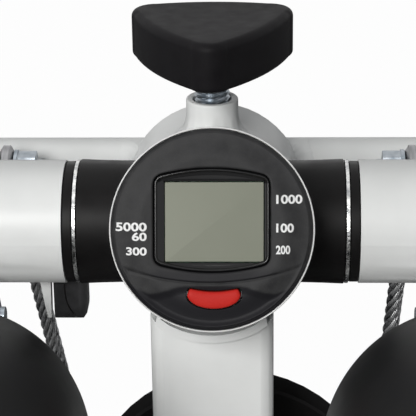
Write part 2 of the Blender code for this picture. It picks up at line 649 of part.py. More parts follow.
def pedal(side, sign, rubber):
    """Moulded footplate with a hollow domed toe hood, a sunk tread and cross ribs."""
    bottom = -ARM_LEVEL + ARM_HEIGHT / 2 + BRACKET_PLATE + 2 * GAP
    top = bottom + PEDAL_THICKNESS
    x = sign * PEDAL_X
    origin = axle_line(sign * ARM_X)
    frame = Matrix.Translation(at(x, 0, bottom))
    plate = place(prism(pedal_outline(), PEDAL_THICKNESS, frame), f"pedal_{side}", rubber, origin)

    lip = 0.8 * MM
    axes = [PEDAL_HALF_WIDTH - lip, NOSE_LENGTH - lip, HOOD_RISE]
    hood = place(dome(x, (-NOSE_BEHIND, -HOOD_LEVEL), axes), f"hood {side}", rubber)
    open_end = [(-HOOD_MOUTH + 26 * MM, 20 * MM), (-HOOD_MOUTH - 4 * MM, -HOOD_LEVEL - 4 * MM),
                (-PEDAL_END, -HOOD_LEVEL - 4 * MM), (-PEDAL_END, 20 * MM)]
    wide = 2 * PEDAL_HALF_WIDTH + 20 * MM
    behind = prism(open_end, wide, side_frame(x - wide / 2))
    cut(hood, place(behind, f"hood end {side}", rubber))
    join(plate, hood)

    well = Matrix.Translation(at(x, 0, top - TREAD_DEPTH))
    tread = pedal_outline(TREAD_INSET, HOOD_MOUTH - 8 * MM)
    inner = [axes[0] - HOOD_WALL, axes[1] - HOOD_WALL, HOOD_RISE - HOOD_WALL]
    toes = place(dome(x, (-NOSE_BEHIND, -HOOD_LEVEL + 0.4 * MM), inner, 24, 6),
                 f"toe room {side}", rubber)
    ahead_block = block(at(x - wide / 2, -BULKHEAD, -2 * PEDAL_END), at(x + wide / 2, 0, PEDAL_END))
    cut(toes, place(ahead_block, f"toe room end {side}", rubber))
    deeper = 10 * MM
    inner[2] = -HOOD_LEVEL + HOOD_RISE - HOOD_WALL - bottom + deeper
    nose = place(dome(x, (-NOSE_BEHIND, bottom - deeper), inner, 24, 6), f"nose room {side}",
                 rubber)
    rear_block = block(at(x - wide / 2, -2 * PEDAL_END, -2 * PEDAL_END),
                       at(x + wide / 2, -BULKHEAD + HOOD_WALL, PEDAL_END))
    cut(nose, place(rear_block, f"nose room end {side}", rubber))
    reach = ARM_WIDTH / 2 + BRACKET_PLATE + 3 * MM
    slot = block(at(sign * ARM_X - reach, -BULKHEAD + HOOD_WALL + 0.5 * MM, bottom - 5 * MM),
                 at(sign * ARM_X + reach, 0, 4 * MM))
    bay = rod(12 * MM, 2 * reach + 26 * MM,
              at(sign * ARM_X - reach - 13 * MM, -BOLT_BEHIND, -BOLT_DROP), (1, 0, 0), 24)
    cut(plate, place(prism(tread, TREAD_DEPTH * 2, well), f"tread well {side}", rubber), toes,
        nose, place(slot, f"arm slot {side}", rubber), place(bay, f"bolt bay {side}", rubber))

    first = HOOD_MOUTH + 8 * MM
    count = int((PEDAL_END - TREAD_INSET - first - 8 * MM) / RIB_PITCH)
    for i in range(count):
        back = first + i * RIB_PITCH
        half = HEEL_HALF_WIDTH - TREAD_INSET - 4 * MM
        past_corner = back + RIB_WIDTH - (PEDAL_END - 30 * MM)
        if past_corner > 0:
            half -= 30 * MM - math.sqrt((30 * MM) ** 2 - past_corner**2) + 2 * MM
        rib = block(at(x - half, -back - RIB_WIDTH, top - TREAD_DEPTH - 0.5 * MM),
                    at(x + half, -back, top - TREAD_DEPTH + RIB_HEIGHT))
        join(plate, place(rib, f"rib {side} {i}", rubber))


def pedal_bracket(side, sign, steel):
    """Channel over the arm that carries the pedal, with cheeks that run up to the toe bolt."""
    x = sign * ARM_X
    inner = ARM_WIDTH / 2 + GAP
    level = -ARM_LEVEL + ARM_HEIGHT / 2 + GAP
    origin = axle_line(x)
    top = block(at(x - inner - BRACKET_PLATE, -BRACKET_END, level),
                at(x + inner + BRACKET_PLATE, -BRACKET_START, level + BRACKET_PLATE))
    bracket = place(top, f"pedal_bracket_{side}", steel, origin)
    tip = (-BOLT_BEHIND, -BOLT_DROP)
    outline = [(-BRACKET_END, level + BRACKET_PLATE), (-BRACKET_END, level - 16 * MM),
               (-BRACKET_START, level - 16 * MM)]
    outline += arc(tip, 9 * MM, -122, 58, 10)
    outline += [(-BRACKET_START + 14 * MM, level + BRACKET_PLATE)]
    for face in (-1, 1):
        cheek_x = x + (inner if face > 0 else -inner - BRACKET_PLATE)
        cheek = prism(outline, BRACKET_PLATE, side_frame(cheek_x))
        join(bracket, place(cheek, f"cheek {side} {face}", steel))
    hole = rod(M8_RADIUS + GAP, 40 * MM, at(x - 20 * MM, *tip), (1, 0, 0), 20)
    cut(bracket, place(hole, f"toe hole {side}", steel))


def damper_frame():
    """Rest length of a damper and its direction, from the foot pin to the top pin."""
    ahead = -DAMPER_TOP_BEHIND
    rise = DAMPER_FOOT_DROP - DAMPER_TOP_DROP
    length = math.hypot(ahead, rise)
    return length, Vector((0, ahead / length, rise / length))


def dampers(black, chrome, zinc):
    length, line = damper_frame()
    for side, sign in SIDES.items():
        x = sign * ARM_X
        foot = at(x, 0, -DAMPER_FOOT_DROP)
        shell = [
            (0, DAMPER_BODY_START + 8 * MM), (ROD_RADIUS + RUN, DAMPER_BODY_START + 10 * MM),
            (ROD_RADIUS + RUN, DAMPER_BODY_END), (DAMPER_RADIUS - 3 * MM, DAMPER_BODY_END),
            (DAMPER_RADIUS - 1 * MM, DAMPER_BODY_END - 2 * MM),
            (DAMPER_RADIUS, DAMPER_BODY_END - 5 * MM), (DAMPER_RADIUS, DAMPER_BODY_START + 3 * MM),
            (DAMPER_RADIUS - 3 * MM, DAMPER_BODY_START), (0, DAMPER_BODY_START),
        ]
        body = place(turned(shell, foot, line, 24), f"damper_body_{side}", black, foot)
        ear = rod(DAMPER_EYE, EYE_WIDTH, at(x - EYE_WIDTH / 2, 0, -DAMPER_FOOT_DROP), (1, 0, 0), 18)
        neck = rod(6 * MM, DAMPER_BODY_START + 2 * MM, foot, line, 16)
        join(body, place(ear, f"foot eye {side}", black), place(neck, f"foot neck {side}", black))
        hole = rod(PIN_RADIUS + RUN, EYE_WIDTH * 2, at(x - EYE_WIDTH, 0, -DAMPER_FOOT_DROP),
                   (1, 0, 0), 24)
        cut(body, place(hole, f"foot hole {side}", black))

        top = at(x, -DAMPER_TOP_BEHIND, -DAMPER_TOP_DROP)
        start = foot + line * ROD_INSIDE
        rod_piece = place(rod(ROD_RADIUS, length - ROD_INSIDE - DAMPER_EYE * 0.5, start, line, 24),
                          f"damper_rod_{side}", chrome, top)
        ear = rod(DAMPER_EYE, EYE_WIDTH, at(x - EYE_WIDTH / 2, -DAMPER_TOP_BEHIND,
                                            -DAMPER_TOP_DROP), (1, 0, 0), 28)
        join(rod_piece, place(ear, f"top eye {side}", chrome))
        hole = rod(PIN_RADIUS + EYE_CLEARANCE, EYE_WIDTH * 2,
                   at(x - EYE_WIDTH, -DAMPER_TOP_BEHIND, -DAMPER_TOP_DROP), (1, 0, 0), 24)
        cut(rod_piece, place(hole, f"top hole {side}", chrome))

        grip = EYE_WIDTH + 2 * LUG_PLATE + 4 * GAP
        outer = sign * (ARM_X + grip / 2)
        for spot, behind, drop in (("foot", 0, DAMPER_FOOT_DROP),
                                   ("top", DAMPER_TOP_BEHIND, DAMPER_TOP_DROP)):
            bolt(f"damper_{spot}_pin_{side}", at(outer, -behind, -drop), (-sign, 0, 0), grip,
                 PIN_RADIUS, M8_FLATS, 5.3 * MM, NUT_HEIGHT, zinc,
                 at(x, -behind, -drop))


def toe_bolts(zinc):
    grip = ARM_WIDTH + 2 * BRACKET_PLATE + 4 * GAP
    for side, sign in SIDES.items():
        start = at(sign * (ARM_X + grip / 2), -BOLT_BEHIND, -BOLT_DROP)
        bolt(f"toe_bolt_{side}", start, (-sign, 0, 0), grip, M8_RADIUS, M8_FLATS, 5.3 * MM,
             NUT_HEIGHT, zinc, axle_line(sign * ARM_X))


def sheave_and_slider(plastic, steel, zinc):
    x, level = SHEAVE_X, -SHEAVE_DROP
    middle = SHEAVE_WIDTH / 2
    bore = SHEAVE_BOLT + RUN
    round_radius = ROPE_RADIUS + 0.9 * MM
    deep = ROPE_LINE - ROPE_RADIUS - 0.4 * MM
    rim_inner = deep - 5 * MM
    edge = middle - 1.3 * MM
    profile = [(SHEAVE_RADIUS - 1 * MM, 0), (SHEAVE_RADIUS, middle - edge)]
    for i in range(5):
        a = math.radians(180 * i / 4)
        profile.append((deep + round_radius * (1 - math.sin(a)), middle - round_radius * math.cos(a)))
    profile += [(SHEAVE_RADIUS, middle + edge), (SHEAVE_RADIUS - 1 * MM, SHEAVE_WIDTH),
                (rim_inner, SHEAVE_WIDTH),
                (rim_inner - 1 * MM, SHEAVE_WEB), (SHEAVE_HUB + 1 * MM, SHEAVE_WEB),
                (SHEAVE_HUB, SHEAVE_WIDTH), (bore, SHEAVE_WIDTH), (bore, 0)]
    centre = at(x, SHEAVE_BACK, level)
    wheel = place(turned(profile, centre, (0, 1, 0), 48, closed=True), "sheave", plastic, centre)
    for i in range(6):
        spoke = block((-2 * MM, SHEAVE_WEB - 0.5 * MM, SHEAVE_HUB - 1 * MM),
                      (2 * MM, SHEAVE_WIDTH - 2 * MM, rim_inner + 0.5 * MM))
        spoke.transform(Matrix.Translation(centre) @ Matrix.Rotation(math.tau * i / 6, 4, "Y"))
        join(wheel, place(spoke, f"spoke {i}", plastic))

    half = POST_WIDTH / 2 - POST_WALL - 0.5 * MM
    low = level - SLIDER_HEIGHT / 2
    frame = Matrix.Translation(at(0, 0, low))
    slider = place(prism(rounded_box(2 * half, 2 * half, 2.5 * MM), SLIDER_HEIGHT, frame),
                   "slider", steel, at(0, 0, level))
    boss = rod(BOSS_RADIUS, SHEAVE_BACK - GAP - half + 3 * MM, at(x, half - 3 * MM, level),
               (0, 1, 0), 28)
    join(slider, place(boss, "slider boss", steel))
    thread = rod(SPINDLE_LOWER + RUN, SLIDER_HEIGHT * 2,
                 at(0, SPINDLE_AHEAD, level - SLIDER_HEIGHT), (0, 0, 1), 24)
    tapped = rod(SHEAVE_BOLT + GAP, 24 * MM, at(x, SHEAVE_BACK + 2 * MM, level), (0, -1, 0), 24)
    cut(slider, place(thread, "slider thread", steel), place(tapped, "boss thread", steel))

    face = SHEAVE_BACK + SHEAVE_WIDTH + GAP
    shank = SHEAVE_WIDTH + GAP * 2 + 14 * MM
    sections = [
        ("round", SHEAVE_BOLT - 0.6 * MM, -shank), ("round", SHEAVE_BOLT, 1 * MM - shank),
        ("round", SHEAVE_BOLT, 0), ("round", 10 * MM, 0), ("round", 10 * MM, 2 * MM),
        ("hex", 8 * MM, 2 * MM), ("hex", 8 * MM, 7.2 * MM), ("round", 7.2 * MM, 8 * MM),
    ]
    place(stepped(sections, at(x, face, level), (0, 1, 0), 18), "sheave_bolt", zinc, centre)


def spindle_and_knob(zinc, plastic):
    axis = at(0, SPINDLE_AHEAD, 0)
    top = KNOB_BOTTOM + 9 * MM
    slider_top = -SHEAVE_DROP + SLIDER_HEIGHT / 2 + GAP
    slider_low = -SHEAVE_DROP - SLIDER_HEIGHT / 2 - GAP
    thin, ring = SPINDLE_LOWER, SPINDLE_RING
    profile = [(0, top), (SPINDLE_RADIUS, top), (SPINDLE_RADIUS, SPINDLE_STEP + 1 * MM),
               (thin, SPINDLE_STEP - 1 * MM), (thin, slider_top + SPINDLE_RING_HEIGHT),
               (ring, slider_top + SPINDLE_RING_HEIGHT), (ring, slider_top), (thin, slider_top),
               (thin, slider_low), (ring - 1 * MM, slider_low),
               (ring - 1 * MM, slider_low - SPINDLE_RING_HEIGHT),
               (0, slider_low - SPINDLE_RING_HEIGHT)]
    place(turned(profile, axis, (0, 0, 1), 20), "spindle", zinc, axis)
    outline = []
    for corner in range(3):
        middle = -90 + 120 * corner
        a = math.radians(middle)
        centre = (KNOB_REACH * math.cos(a), KNOB_REACH * math.sin(a))
        outline += arc(centre, KNOB_CORNER, middle - 60, middle + 60, 6)
        outward = math.radians(middle + 60)
        for share in (0.25, 0.5, 0.75):
            along = (share - 0.5) * KNOB_REACH * math.sqrt(3)
            away = KNOB_REACH / 2 + KNOB_CORNER + KNOB_BOW * 4 * share * (1 - share)
            outline.append((away * math.cos(outward) - along * math.sin(outward),
                            away * math.sin(outward) + along * math.cos(outward)))
    frame = Matrix.Translation(at(0, SPINDLE_AHEAD, KNOB_BOTTOM))
    knob = place(prism(outline, KNOB_HEIGHT, frame), "knob", plastic, axis)
    edge = knob.modifiers.new("Edge", "BEVEL")
    edge.width = KNOB_EDGE
    edge.segments = 2
    edge.limit_method = "ANGLE"
    boss = rod(11 * MM, 6 * MM, at(0, SPINDLE_AHEAD, KNOB_BOTTOM - 3 * MM), (0, 0, 1), 32)
    hole = rod(SPINDLE_RADIUS + GAP, 9 * MM + 6 * MM + GAP,
               at(0, SPINDLE_AHEAD, KNOB_BOTTOM - 6 * MM), (0, 0, 1), 32)
    join(knob, place(boss, "knob boss", plastic))
    cut(knob, place(hole, "knob hole", plastic))


def rope_points(side, sign):
    """Upper end of a rope run and the point where it meets the sheave, in the rope's path."""
    x = sign * ROPE_X[side]
    top = at(x, EYE_AHEAD, EYE_RISE)
    away = Vector((x - SHEAVE_X, EYE_RISE + SHEAVE_DROP))
    reach = away.length
    turn = math.acos(ROPE_LINE / reach)
    angle = math.atan2(away.y, away.x) + sign * -turn
    touch = at(SHEAVE_X + ROPE_LINE * math.cos(angle), SHEAVE_PLANE,
               -SHEAVE_DROP + ROPE_LINE * math.sin(angle))
    return top, touch, angle


def rope(name, points, material, origin=(0, 0, 0)):
    """Round rope along a list of points, with closed ends."""
    curve = bpy.data.curves.new(name, "CURVE")
    curve.dimensions = "3D"
    curve.bevel_depth = ROPE_RADIUS
    curve.bevel_resolution = 2
    curve.use_fill_caps = True
    spline = curve.splines.new("POLY")
    spline.points.add(len(points) - 1)
    for spot, point in zip(spline.points, points):
        spot.co = (*(Vector(point) - Vector(origin)), 1)
    curve.materials.append(material)
    obj = bpy.data.objects.new(name, curve)
    obj.location = origin
    bpy.context.scene.collection.objects.link(obj)
    return obj


def wire_rope(steel, zinc):
    angles = {}
    for side, sign in SIDES.items():
        top, touch, angles[side] = rope_points(side, sign)
        line = (touch - top).normalized()
        start = top + line * (EYE_RADIUS + FERRULE_LENGTH + GAP)
        end = touch - line * 1 * MM
        rope(f"rope_run_{side}", [start.lerp(end, i / 6) for i in range(7)], steel)
        rope_end(side, sign, top, line, steel, zinc)
    first, last = angles["right"], angles["left"] - math.tau
    steps = 32
    points = []
    for i in range(steps + 1):
        a = first + (last - first) * i / steps
        points.append(at(SHEAVE_X + ROPE_LINE * math.cos(a), SHEAVE_PLANE,
                         -SHEAVE_DROP + ROPE_LINE * math.sin(a)))
    rope("rope_wrap", points, steel)


def rope_end(side, sign, top, line, steel, zinc):
    """Eye of the rope round its bolt, with the pressed ferrule below it."""
    origin = axle_line(sign * ARM_X)
    ring = []
    for i in range(6):
        a = math.tau * (i + 0.5) / 6
        ring.append((EYE_RADIUS + EYE_WIRE * math.cos(a), EYE_WIRE * math.sin(a)))
    eye = place(turned(ring, top, (1, 0, 0), 20, closed=True), f"rope_eye_{side}", steel, origin)
    long = FERRULE_LENGTH
    profile = [(0, long), (FERRULE_RADIUS - 1 * MM, long), (FERRULE_RADIUS, long - 1 * MM),
               (FERRULE_RADIUS, 6 * MM), (EYE_WIRE, 4 * MM), (EYE_WIRE, 1.3 * MM),
               (0, 1.3 * MM)]
    ferrule = turned(profile, top + line * EYE_RADIUS, line, 20)
    join(eye, place(ferrule, f"ferrule {side}", zinc))
    outer = ROPE_X[side] + ROPE_RADIUS + 2 * GAP + ROPE_LUG + GAP
    grip = outer - (ROPE_X[side] - EYE_WIRE - GAP)
    bolt(f"rope_bolt_{side}", at(sign * outer, EYE_AHEAD, EYE_RISE), (-sign, 0, 0), grip,
         M8_RADIUS, M8_FLATS, 5.3 * MM, 7.4 * MM, zinc, origin)


def monitor_frame():
    """Frame of the monitor's face: x right, y up the face, z out towards the user."""
    up = Vector((0, math.sin(MONITOR_TILT), math.cos(MONITOR_TILT)))
    out = Vector((0, -math.cos(MONITOR_TILT), math.sin(MONITOR_TILT)))
    rows = Matrix((Vector((1, 0, 0)), up, out)).transposed().to_4x4()
    return Matrix.Translation(at(MONITOR_X, MONITOR_AHEAD, MONITOR_RISE)) @ rows


def window_outline(shrink):
    """Window with bowed top and bottom edges."""
    half = WINDOW_WIDTH / 2 - shrink
    tall = WINDOW_HEIGHT / 2 - shrink
    points = []
    for top in (1, -1):
        for i in range(11):
            t = top * (1 - i / 5)
            bow = WINDOW_BULGE * (1 - t * t)
            points.append((half * t, WINDOW_UP + top * (tall + bow)))
    return points


def button_outline(grow):
    """Crescent button: its upper edge dips, its lower edge bows."""
    half = BUTTON_WIDTH / 2 + grow
    points = []
    for i in range(13):
        t = 1 - i / 6
        points.append((half * t, -BUTTON_DOWN + BUTTON_HEIGHT * 0.32 + grow
                       - BUTTON_HEIGHT * 0.16 * (1 - t * t)))
    for i in range(13):
        t = -1 + i / 6
        bow = math.sqrt(max(0.0, 1 - t * t))
        points.append((half * t, -BUTTON_DOWN - grow - BUTTON_HEIGHT * 0.5 * bow
                       + BUTTON_HEIGHT * 0.08))
    cleaned = []
    for point in points:
        if not cleaned or math.dist(point, cleaned[-1]) > 0.2 * MM:
            cleaned.append(point)
    if math.dist(cleaned[0], cleaned[-1]) < 0.2 * MM:
        cleaned.pop()
    return cleaned


def monitor(white, black, gloss, screen, red, board):
    face = monitor_frame()

    def local(bm):
        bm.transform(face)
        return bm

    inner = MONITOR_RADIUS - BEZEL_WALL
    profile = [(0, 0), (MONITOR_RADIUS - 6 * MM, -0.4 * MM), (MONITOR_RADIUS - 2 * MM, -1.2 * MM),
               (MONITOR_RADIUS, -3.4 * MM),
               (MONITOR_RADIUS, -BEZEL_DEPTH), (inner, -BEZEL_DEPTH), (inner, -4.2 * MM),
               (0, -2.6 * MM)]
    bezel = place(local(turned(profile, (0, 0, 0), (0, 0, 1), 48)), "monitor_bezel", black)
    window = prism(window_outline(0), 10 * MM, face @ Matrix.Translation((0, 0, -8 * MM)))
    recess = prism(button_outline(0.5 * MM), 10 * MM, face @ Matrix.Translation((0, 0, -8 * MM)))
    cut(bezel, place(window, "window hole", black), place(recess, "button hole", black))

    pane = prism(window_outline(0.4 * MM), 1.6 * MM, face @ Matrix.Translation((0, 0, -3 * MM)))
    frame_piece = place(pane, "window_frame", gloss)
    hole_frame = face @ Matrix.Translation((0.9 * MM, SCREEN_UP, -8 * MM))
    hole = prism(rounded_box(SCREEN_WIDTH + 2 * GAP, SCREEN_HEIGHT + 2 * GAP, 0.6 * MM), 10 * MM,
                 hole_frame)
    cut(frame_piece, place(hole, "screen hole", gloss))
    glass = rounded_box(SCREEN_WIDTH, SCREEN_HEIGHT, 0.5 * MM)
    at_screen = face @ Matrix.Translation((0.9 * MM, SCREEN_UP, -6.9 * MM))
    place(prism(glass, 4.7 * MM, at_screen), "lcd_panel", screen)
    card_frame = face @ Matrix.Translation((0, 0, -8.8 * MM))
    card = prism(rounded_box(44 * MM, 46 * MM, 3 * MM), 1.6 * MM, card_frame)
    place(card, "circuit_board", board)
    spot = face @ Vector((0, -BUTTON_DOWN, 0))
    cap = prism(button_outline(0), 6.2 * MM, face @ Matrix.Translation((0, 0, -5.8 * MM)))
    place(cap, "reset_button", red, spot)
    housing(face, white)


def housing(face, white):
    """White back shell, lofted from the tilted rim to the upright end of the barrel."""
    steps = 40
    back_out = at(MONITOR_X, -BARREL_FRONT - GAP, 3 * MM)

    def ring(bm, kind, shrink):
        verts = []
        for i in range(steps):
            a = math.tau * i / steps
            if kind == "back":
                radius = HOUSING_BACK_RADIUS - shrink
                spot = back_out + Vector((radius * math.cos(a), -shrink, radius * math.sin(a)))
            else:
                radius = HOUSING_RADIUS - shrink
                depth = -kind
                spot = face @ Vector((radius * math.cos(a), radius * math.sin(a), depth))
            verts.append(bm.verts.new(spot))
        return verts

    bm = bmesh.new()
    wall = 2 * MM
    loops = [ring(bm, 4.2 * MM, 0), ring(bm, 10 * MM, 0), ring(bm, "back", 0)]
    inside = [ring(bm, "back", wall), ring(bm, 10 * MM, wall), ring(bm, BEZEL_DEPTH + GAP, wall),
              ring(bm, BEZEL_DEPTH + GAP, 0.5 * MM), ring(bm, 4.2 * MM, 0.5 * MM)]
    for low, high in list(zip(loops, loops[1:])) + list(zip(inside, inside[1:])):
        for i in range(steps):
            j = (i + 1) % steps
            bm.faces.new((low[i], low[j], high[j], high[i]))
    for i in range(steps):
        j = (i + 1) % steps
        bm.faces.new((inside[-1][i], inside[-1][j], loops[0][j], loops[0][i]))
    bm.faces.new(loops[-1])
    bm.faces.new(inside[0])
    place(bm, "monitor_housing", white)


def pickup(plastic):
    """Counter pickup under the left end of the spacer."""
    top = -SPACER_RADIUS + 3 * MM
    x = -PICKUP_X
    low = -SLEEVE_RADIUS - 1 * MM - PICKUP_HEIGHT
    half = PICKUP_LENGTH / 2
    chamfer = 3 * MM
    outline = [(-half, -SLEEVE_RADIUS - 1 * MM), (-half, low + chamfer), (-half + chamfer, low),
               (half - chamfer, low), (half, low + chamfer), (half, -SLEEVE_RADIUS - 1 * MM)]
    body = place(prism(outline, PICKUP_WIDTH, side_frame(x - PICKUP_WIDTH / 2)), "pickup", plastic)
    inner_face = SLEEVE_START - BUSH_FLANGE - WASHER_THICKNESS - GAP
    foot = block(at(-inner_face + 0.4 * MM, -half + 2 * MM, -SLEEVE_RADIUS - 4 * MM),
                 at(-inner_face + 3 * MM, half - 2 * MM, top))
    pad = place(foot, "pickup foot", plastic)
    seat = rod(SPACER_RADIUS + GAP, 30 * MM, at(-inner_face - 8 * MM, 0, 0), (1, 0, 0), 48)
    join(body, pad)
    cut(body, place(seat, "pickup seat", plastic))


def main():
    for obj in list(bpy.data.objects):
        bpy.data.objects.remove(obj)
    white = paint("White enamel", (0.83, 0.84, 0.84), 0.32)
    plastic = paint("Black nylon", (0.02, 0.02, 0.022), 0.45)
    rubber = paint("Black rubber", (0.018, 0.018, 0.02), 0.6)
    bezel = paint("Black bezel", (0.03, 0.03, 0.032), 0.5)
    gloss = paint("Black gloss", (0.01, 0.01, 0.012), 0.12)
    screen = paint("Screen", (0.26, 0.28, 0.23), 0.2)
    red = paint("Red button", (0.62, 0.02, 0.03), 0.35)
    board = paint("Circuit board", (0.03, 0.16, 0.06), 0.5)
    steel = paint("Steel", (0.35, 0.35, 0.36), 0.4, 1.0)
    zinc = paint("Zinc plate", (0.5, 0.54, 0.58), 0.35, 1.0)
    chrome = paint("Bright steel", (0.8, 0.8, 0.8), 0.15, 1.0)
    paint_black = paint("Black enamel", (0.02, 0.02, 0.02), 0.3)

    floor_frame(white, rubber)
    post_and_hub(white)
    cross_bar(white, rubber)
    axle_and_bushes(steel, chrome, plastic, zinc, bpy.data.objects["barrel seat"])
    for side, sign in SIDES.items():
        pedal_arm(side, sign, white)
        pedal(side, sign, rubber)
        pedal_bracket(side, sign, steel)
    toe_bolts(zinc)
    dampers(paint_black, chrome, zinc)
    sheave_and_slider(plastic, steel, zinc)
    spindle_and_knob(zinc, plastic)
    wire_rope(steel, zinc)
    monitor(white, bezel, gloss, screen, red, board)
    pickup(plastic)


main()
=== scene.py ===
import functools
import json
import math

import bmesh
import bpy
from mathutils import Matrix, Vector


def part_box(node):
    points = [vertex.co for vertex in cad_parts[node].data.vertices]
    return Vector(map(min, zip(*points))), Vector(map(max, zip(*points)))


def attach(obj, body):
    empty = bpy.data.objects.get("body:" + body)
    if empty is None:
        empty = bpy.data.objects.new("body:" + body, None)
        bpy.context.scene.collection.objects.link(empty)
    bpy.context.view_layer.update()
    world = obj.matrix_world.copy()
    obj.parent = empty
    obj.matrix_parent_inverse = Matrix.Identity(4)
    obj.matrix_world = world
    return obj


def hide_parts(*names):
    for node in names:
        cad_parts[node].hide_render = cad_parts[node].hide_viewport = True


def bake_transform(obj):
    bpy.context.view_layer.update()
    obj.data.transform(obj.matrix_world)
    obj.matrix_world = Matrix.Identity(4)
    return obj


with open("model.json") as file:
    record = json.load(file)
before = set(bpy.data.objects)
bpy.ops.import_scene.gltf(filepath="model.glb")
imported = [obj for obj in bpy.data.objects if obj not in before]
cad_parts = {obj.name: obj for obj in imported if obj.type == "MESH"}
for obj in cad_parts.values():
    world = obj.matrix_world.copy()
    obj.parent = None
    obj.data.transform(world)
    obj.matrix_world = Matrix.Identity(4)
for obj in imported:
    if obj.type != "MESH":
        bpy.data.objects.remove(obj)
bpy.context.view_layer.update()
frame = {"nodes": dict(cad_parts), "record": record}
mm = 0.001
mergeWithin = 2e-6  # metres; points nearer than this become one
sides = {"left": -1, "right": 1}
axleLow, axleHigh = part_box("axle")
axleCentre = (axleLow + axleHigh) / 2
bodyOf = {node: body for body, members in frame["record"]["behaviour"]["bodies"].items() for node in members}
slotOf = {part["node"]: part["material_slot"] for part in frame["record"]["subparts"]}
dressed = set()  # CAD nodes that already have a detailed piece


def at(x, ahead, rise):
    # a place beside, ahead of and above the middle of the axle, in millimetres
    return axleCentre + Vector((x, ahead, rise)) * mm


def put(tree, kind, entries=(), **settings):
    # adds a node; each entry takes a value or another node's output
    node = tree.nodes.new(kind)
    for name, value in settings.items():
        setattr(node, name, value)
    for name, value in dict(entries).items():
        if isinstance(value, bpy.types.NodeSocket):
            tree.links.new(value, node.inputs[name])
        else:
            node.inputs[name].default_value = value
    return node


def objectNoise(tree, scale, detail=4.0, stretch=(1, 1, 1)):
    # noise on the piece's own coordinates, so that it stays put in every view
    coords = put(tree, "ShaderNodeTexCoord").outputs["Object"]
    place = put(tree, "ShaderNodeMapping", {"Vector": coords, "Scale": stretch}).outputs["Vector"]
    return put(tree, "ShaderNodeTexNoise", {"Vector": place, "Scale": scale, "Detail": detail}).outputs["Fac"]


def ramp(tree, value, dark, light, low=0.3, high=0.7):
    colours = put(tree, "ShaderNodeValToRGB", {"Fac": value})
    for stop, place, colour in zip(colours.color_ramp.elements, (low, high), (dark, light)):
        stop.position = place
        stop.color = (*colour, 1)
    return colours.outputs["Color"]


def mixed(tree, share, first, second, **settings):
    # blends two colours
    entries = {0: share, 6: first, 7: second}
    return put(tree, "ShaderNodeMix", entries, data_type="RGBA", **settings).outputs[2]


def finishOf(name, look):
    # look: colours dark and light, patch size, roughness range, metallic, coat, grain size and depth
    material = bpy.data.materials.new(name)
    material.use_nodes = True
    tree = material.node_tree
    shader = tree.nodes["Principled BSDF"]
    plain = {"metallic": 0.0, "coat": 0.0, "coatRoughness": 0.1, "specular": 0.5, "height": 0.1}
    look = {**plain, "stretch": (1, 1, 1), **look}
    shader.inputs["Metallic"].default_value = look["metallic"]
    shader.inputs["Coat Weight"].default_value = look["coat"]
    shader.inputs["Coat Roughness"].default_value = look["coatRoughness"]
    shader.inputs["Specular IOR Level"].default_value = look["specular"]
    patches = objectNoise(tree, look["patch"], stretch=look["stretch"])
    colour = ramp(tree, patches, look["dark"], look["light"])
    low, high = look["roughness"]
    spread = {"Value": patches, "From Min": 0.3, "From Max": 0.7, "To Min": low, "To Max": high}
    roughness = put(tree, "ShaderNodeMapRange", spread).outputs["Result"]
    if "speck" in look:  # fine flecks over the patches: dust, wear or the grain of the moulding
        flecks = ramp(tree, objectNoise(tree, look["grain"], 3.0), (0, 0, 0), look["speck"], 0.58, 0.72)
        colour = mixed(tree, 1.0, colour, flecks, blend_type="ADD")
    if "calm" in look:  # an area of the same piece that is smoother and darker, named by an attribute
        share = put(tree, "ShaderNodeAttribute", attribute_name=look["calm"]["area"]).outputs["Fac"]
        colour = mixed(tree, share, colour, (*look["calm"]["colour"], 1))
        entries = {0: share, 2: roughness, 3: look["calm"]["roughness"]}
        roughness = put(tree, "ShaderNodeMix", entries).outputs[0]
    tree.links.new(colour, shader.inputs["Base Color"])
    tree.links.new(roughness, shader.inputs["Roughness"])
    grain = objectNoise(tree, look["grain"], 2.0, look["stretch"])
    entries = {"Height": grain, "Strength": look["depth"], "Distance": look["height"] * mm}
    tree.links.new(put(tree, "ShaderNodeBump", entries).outputs["Normal"], shader.inputs["Normal"])
    return material


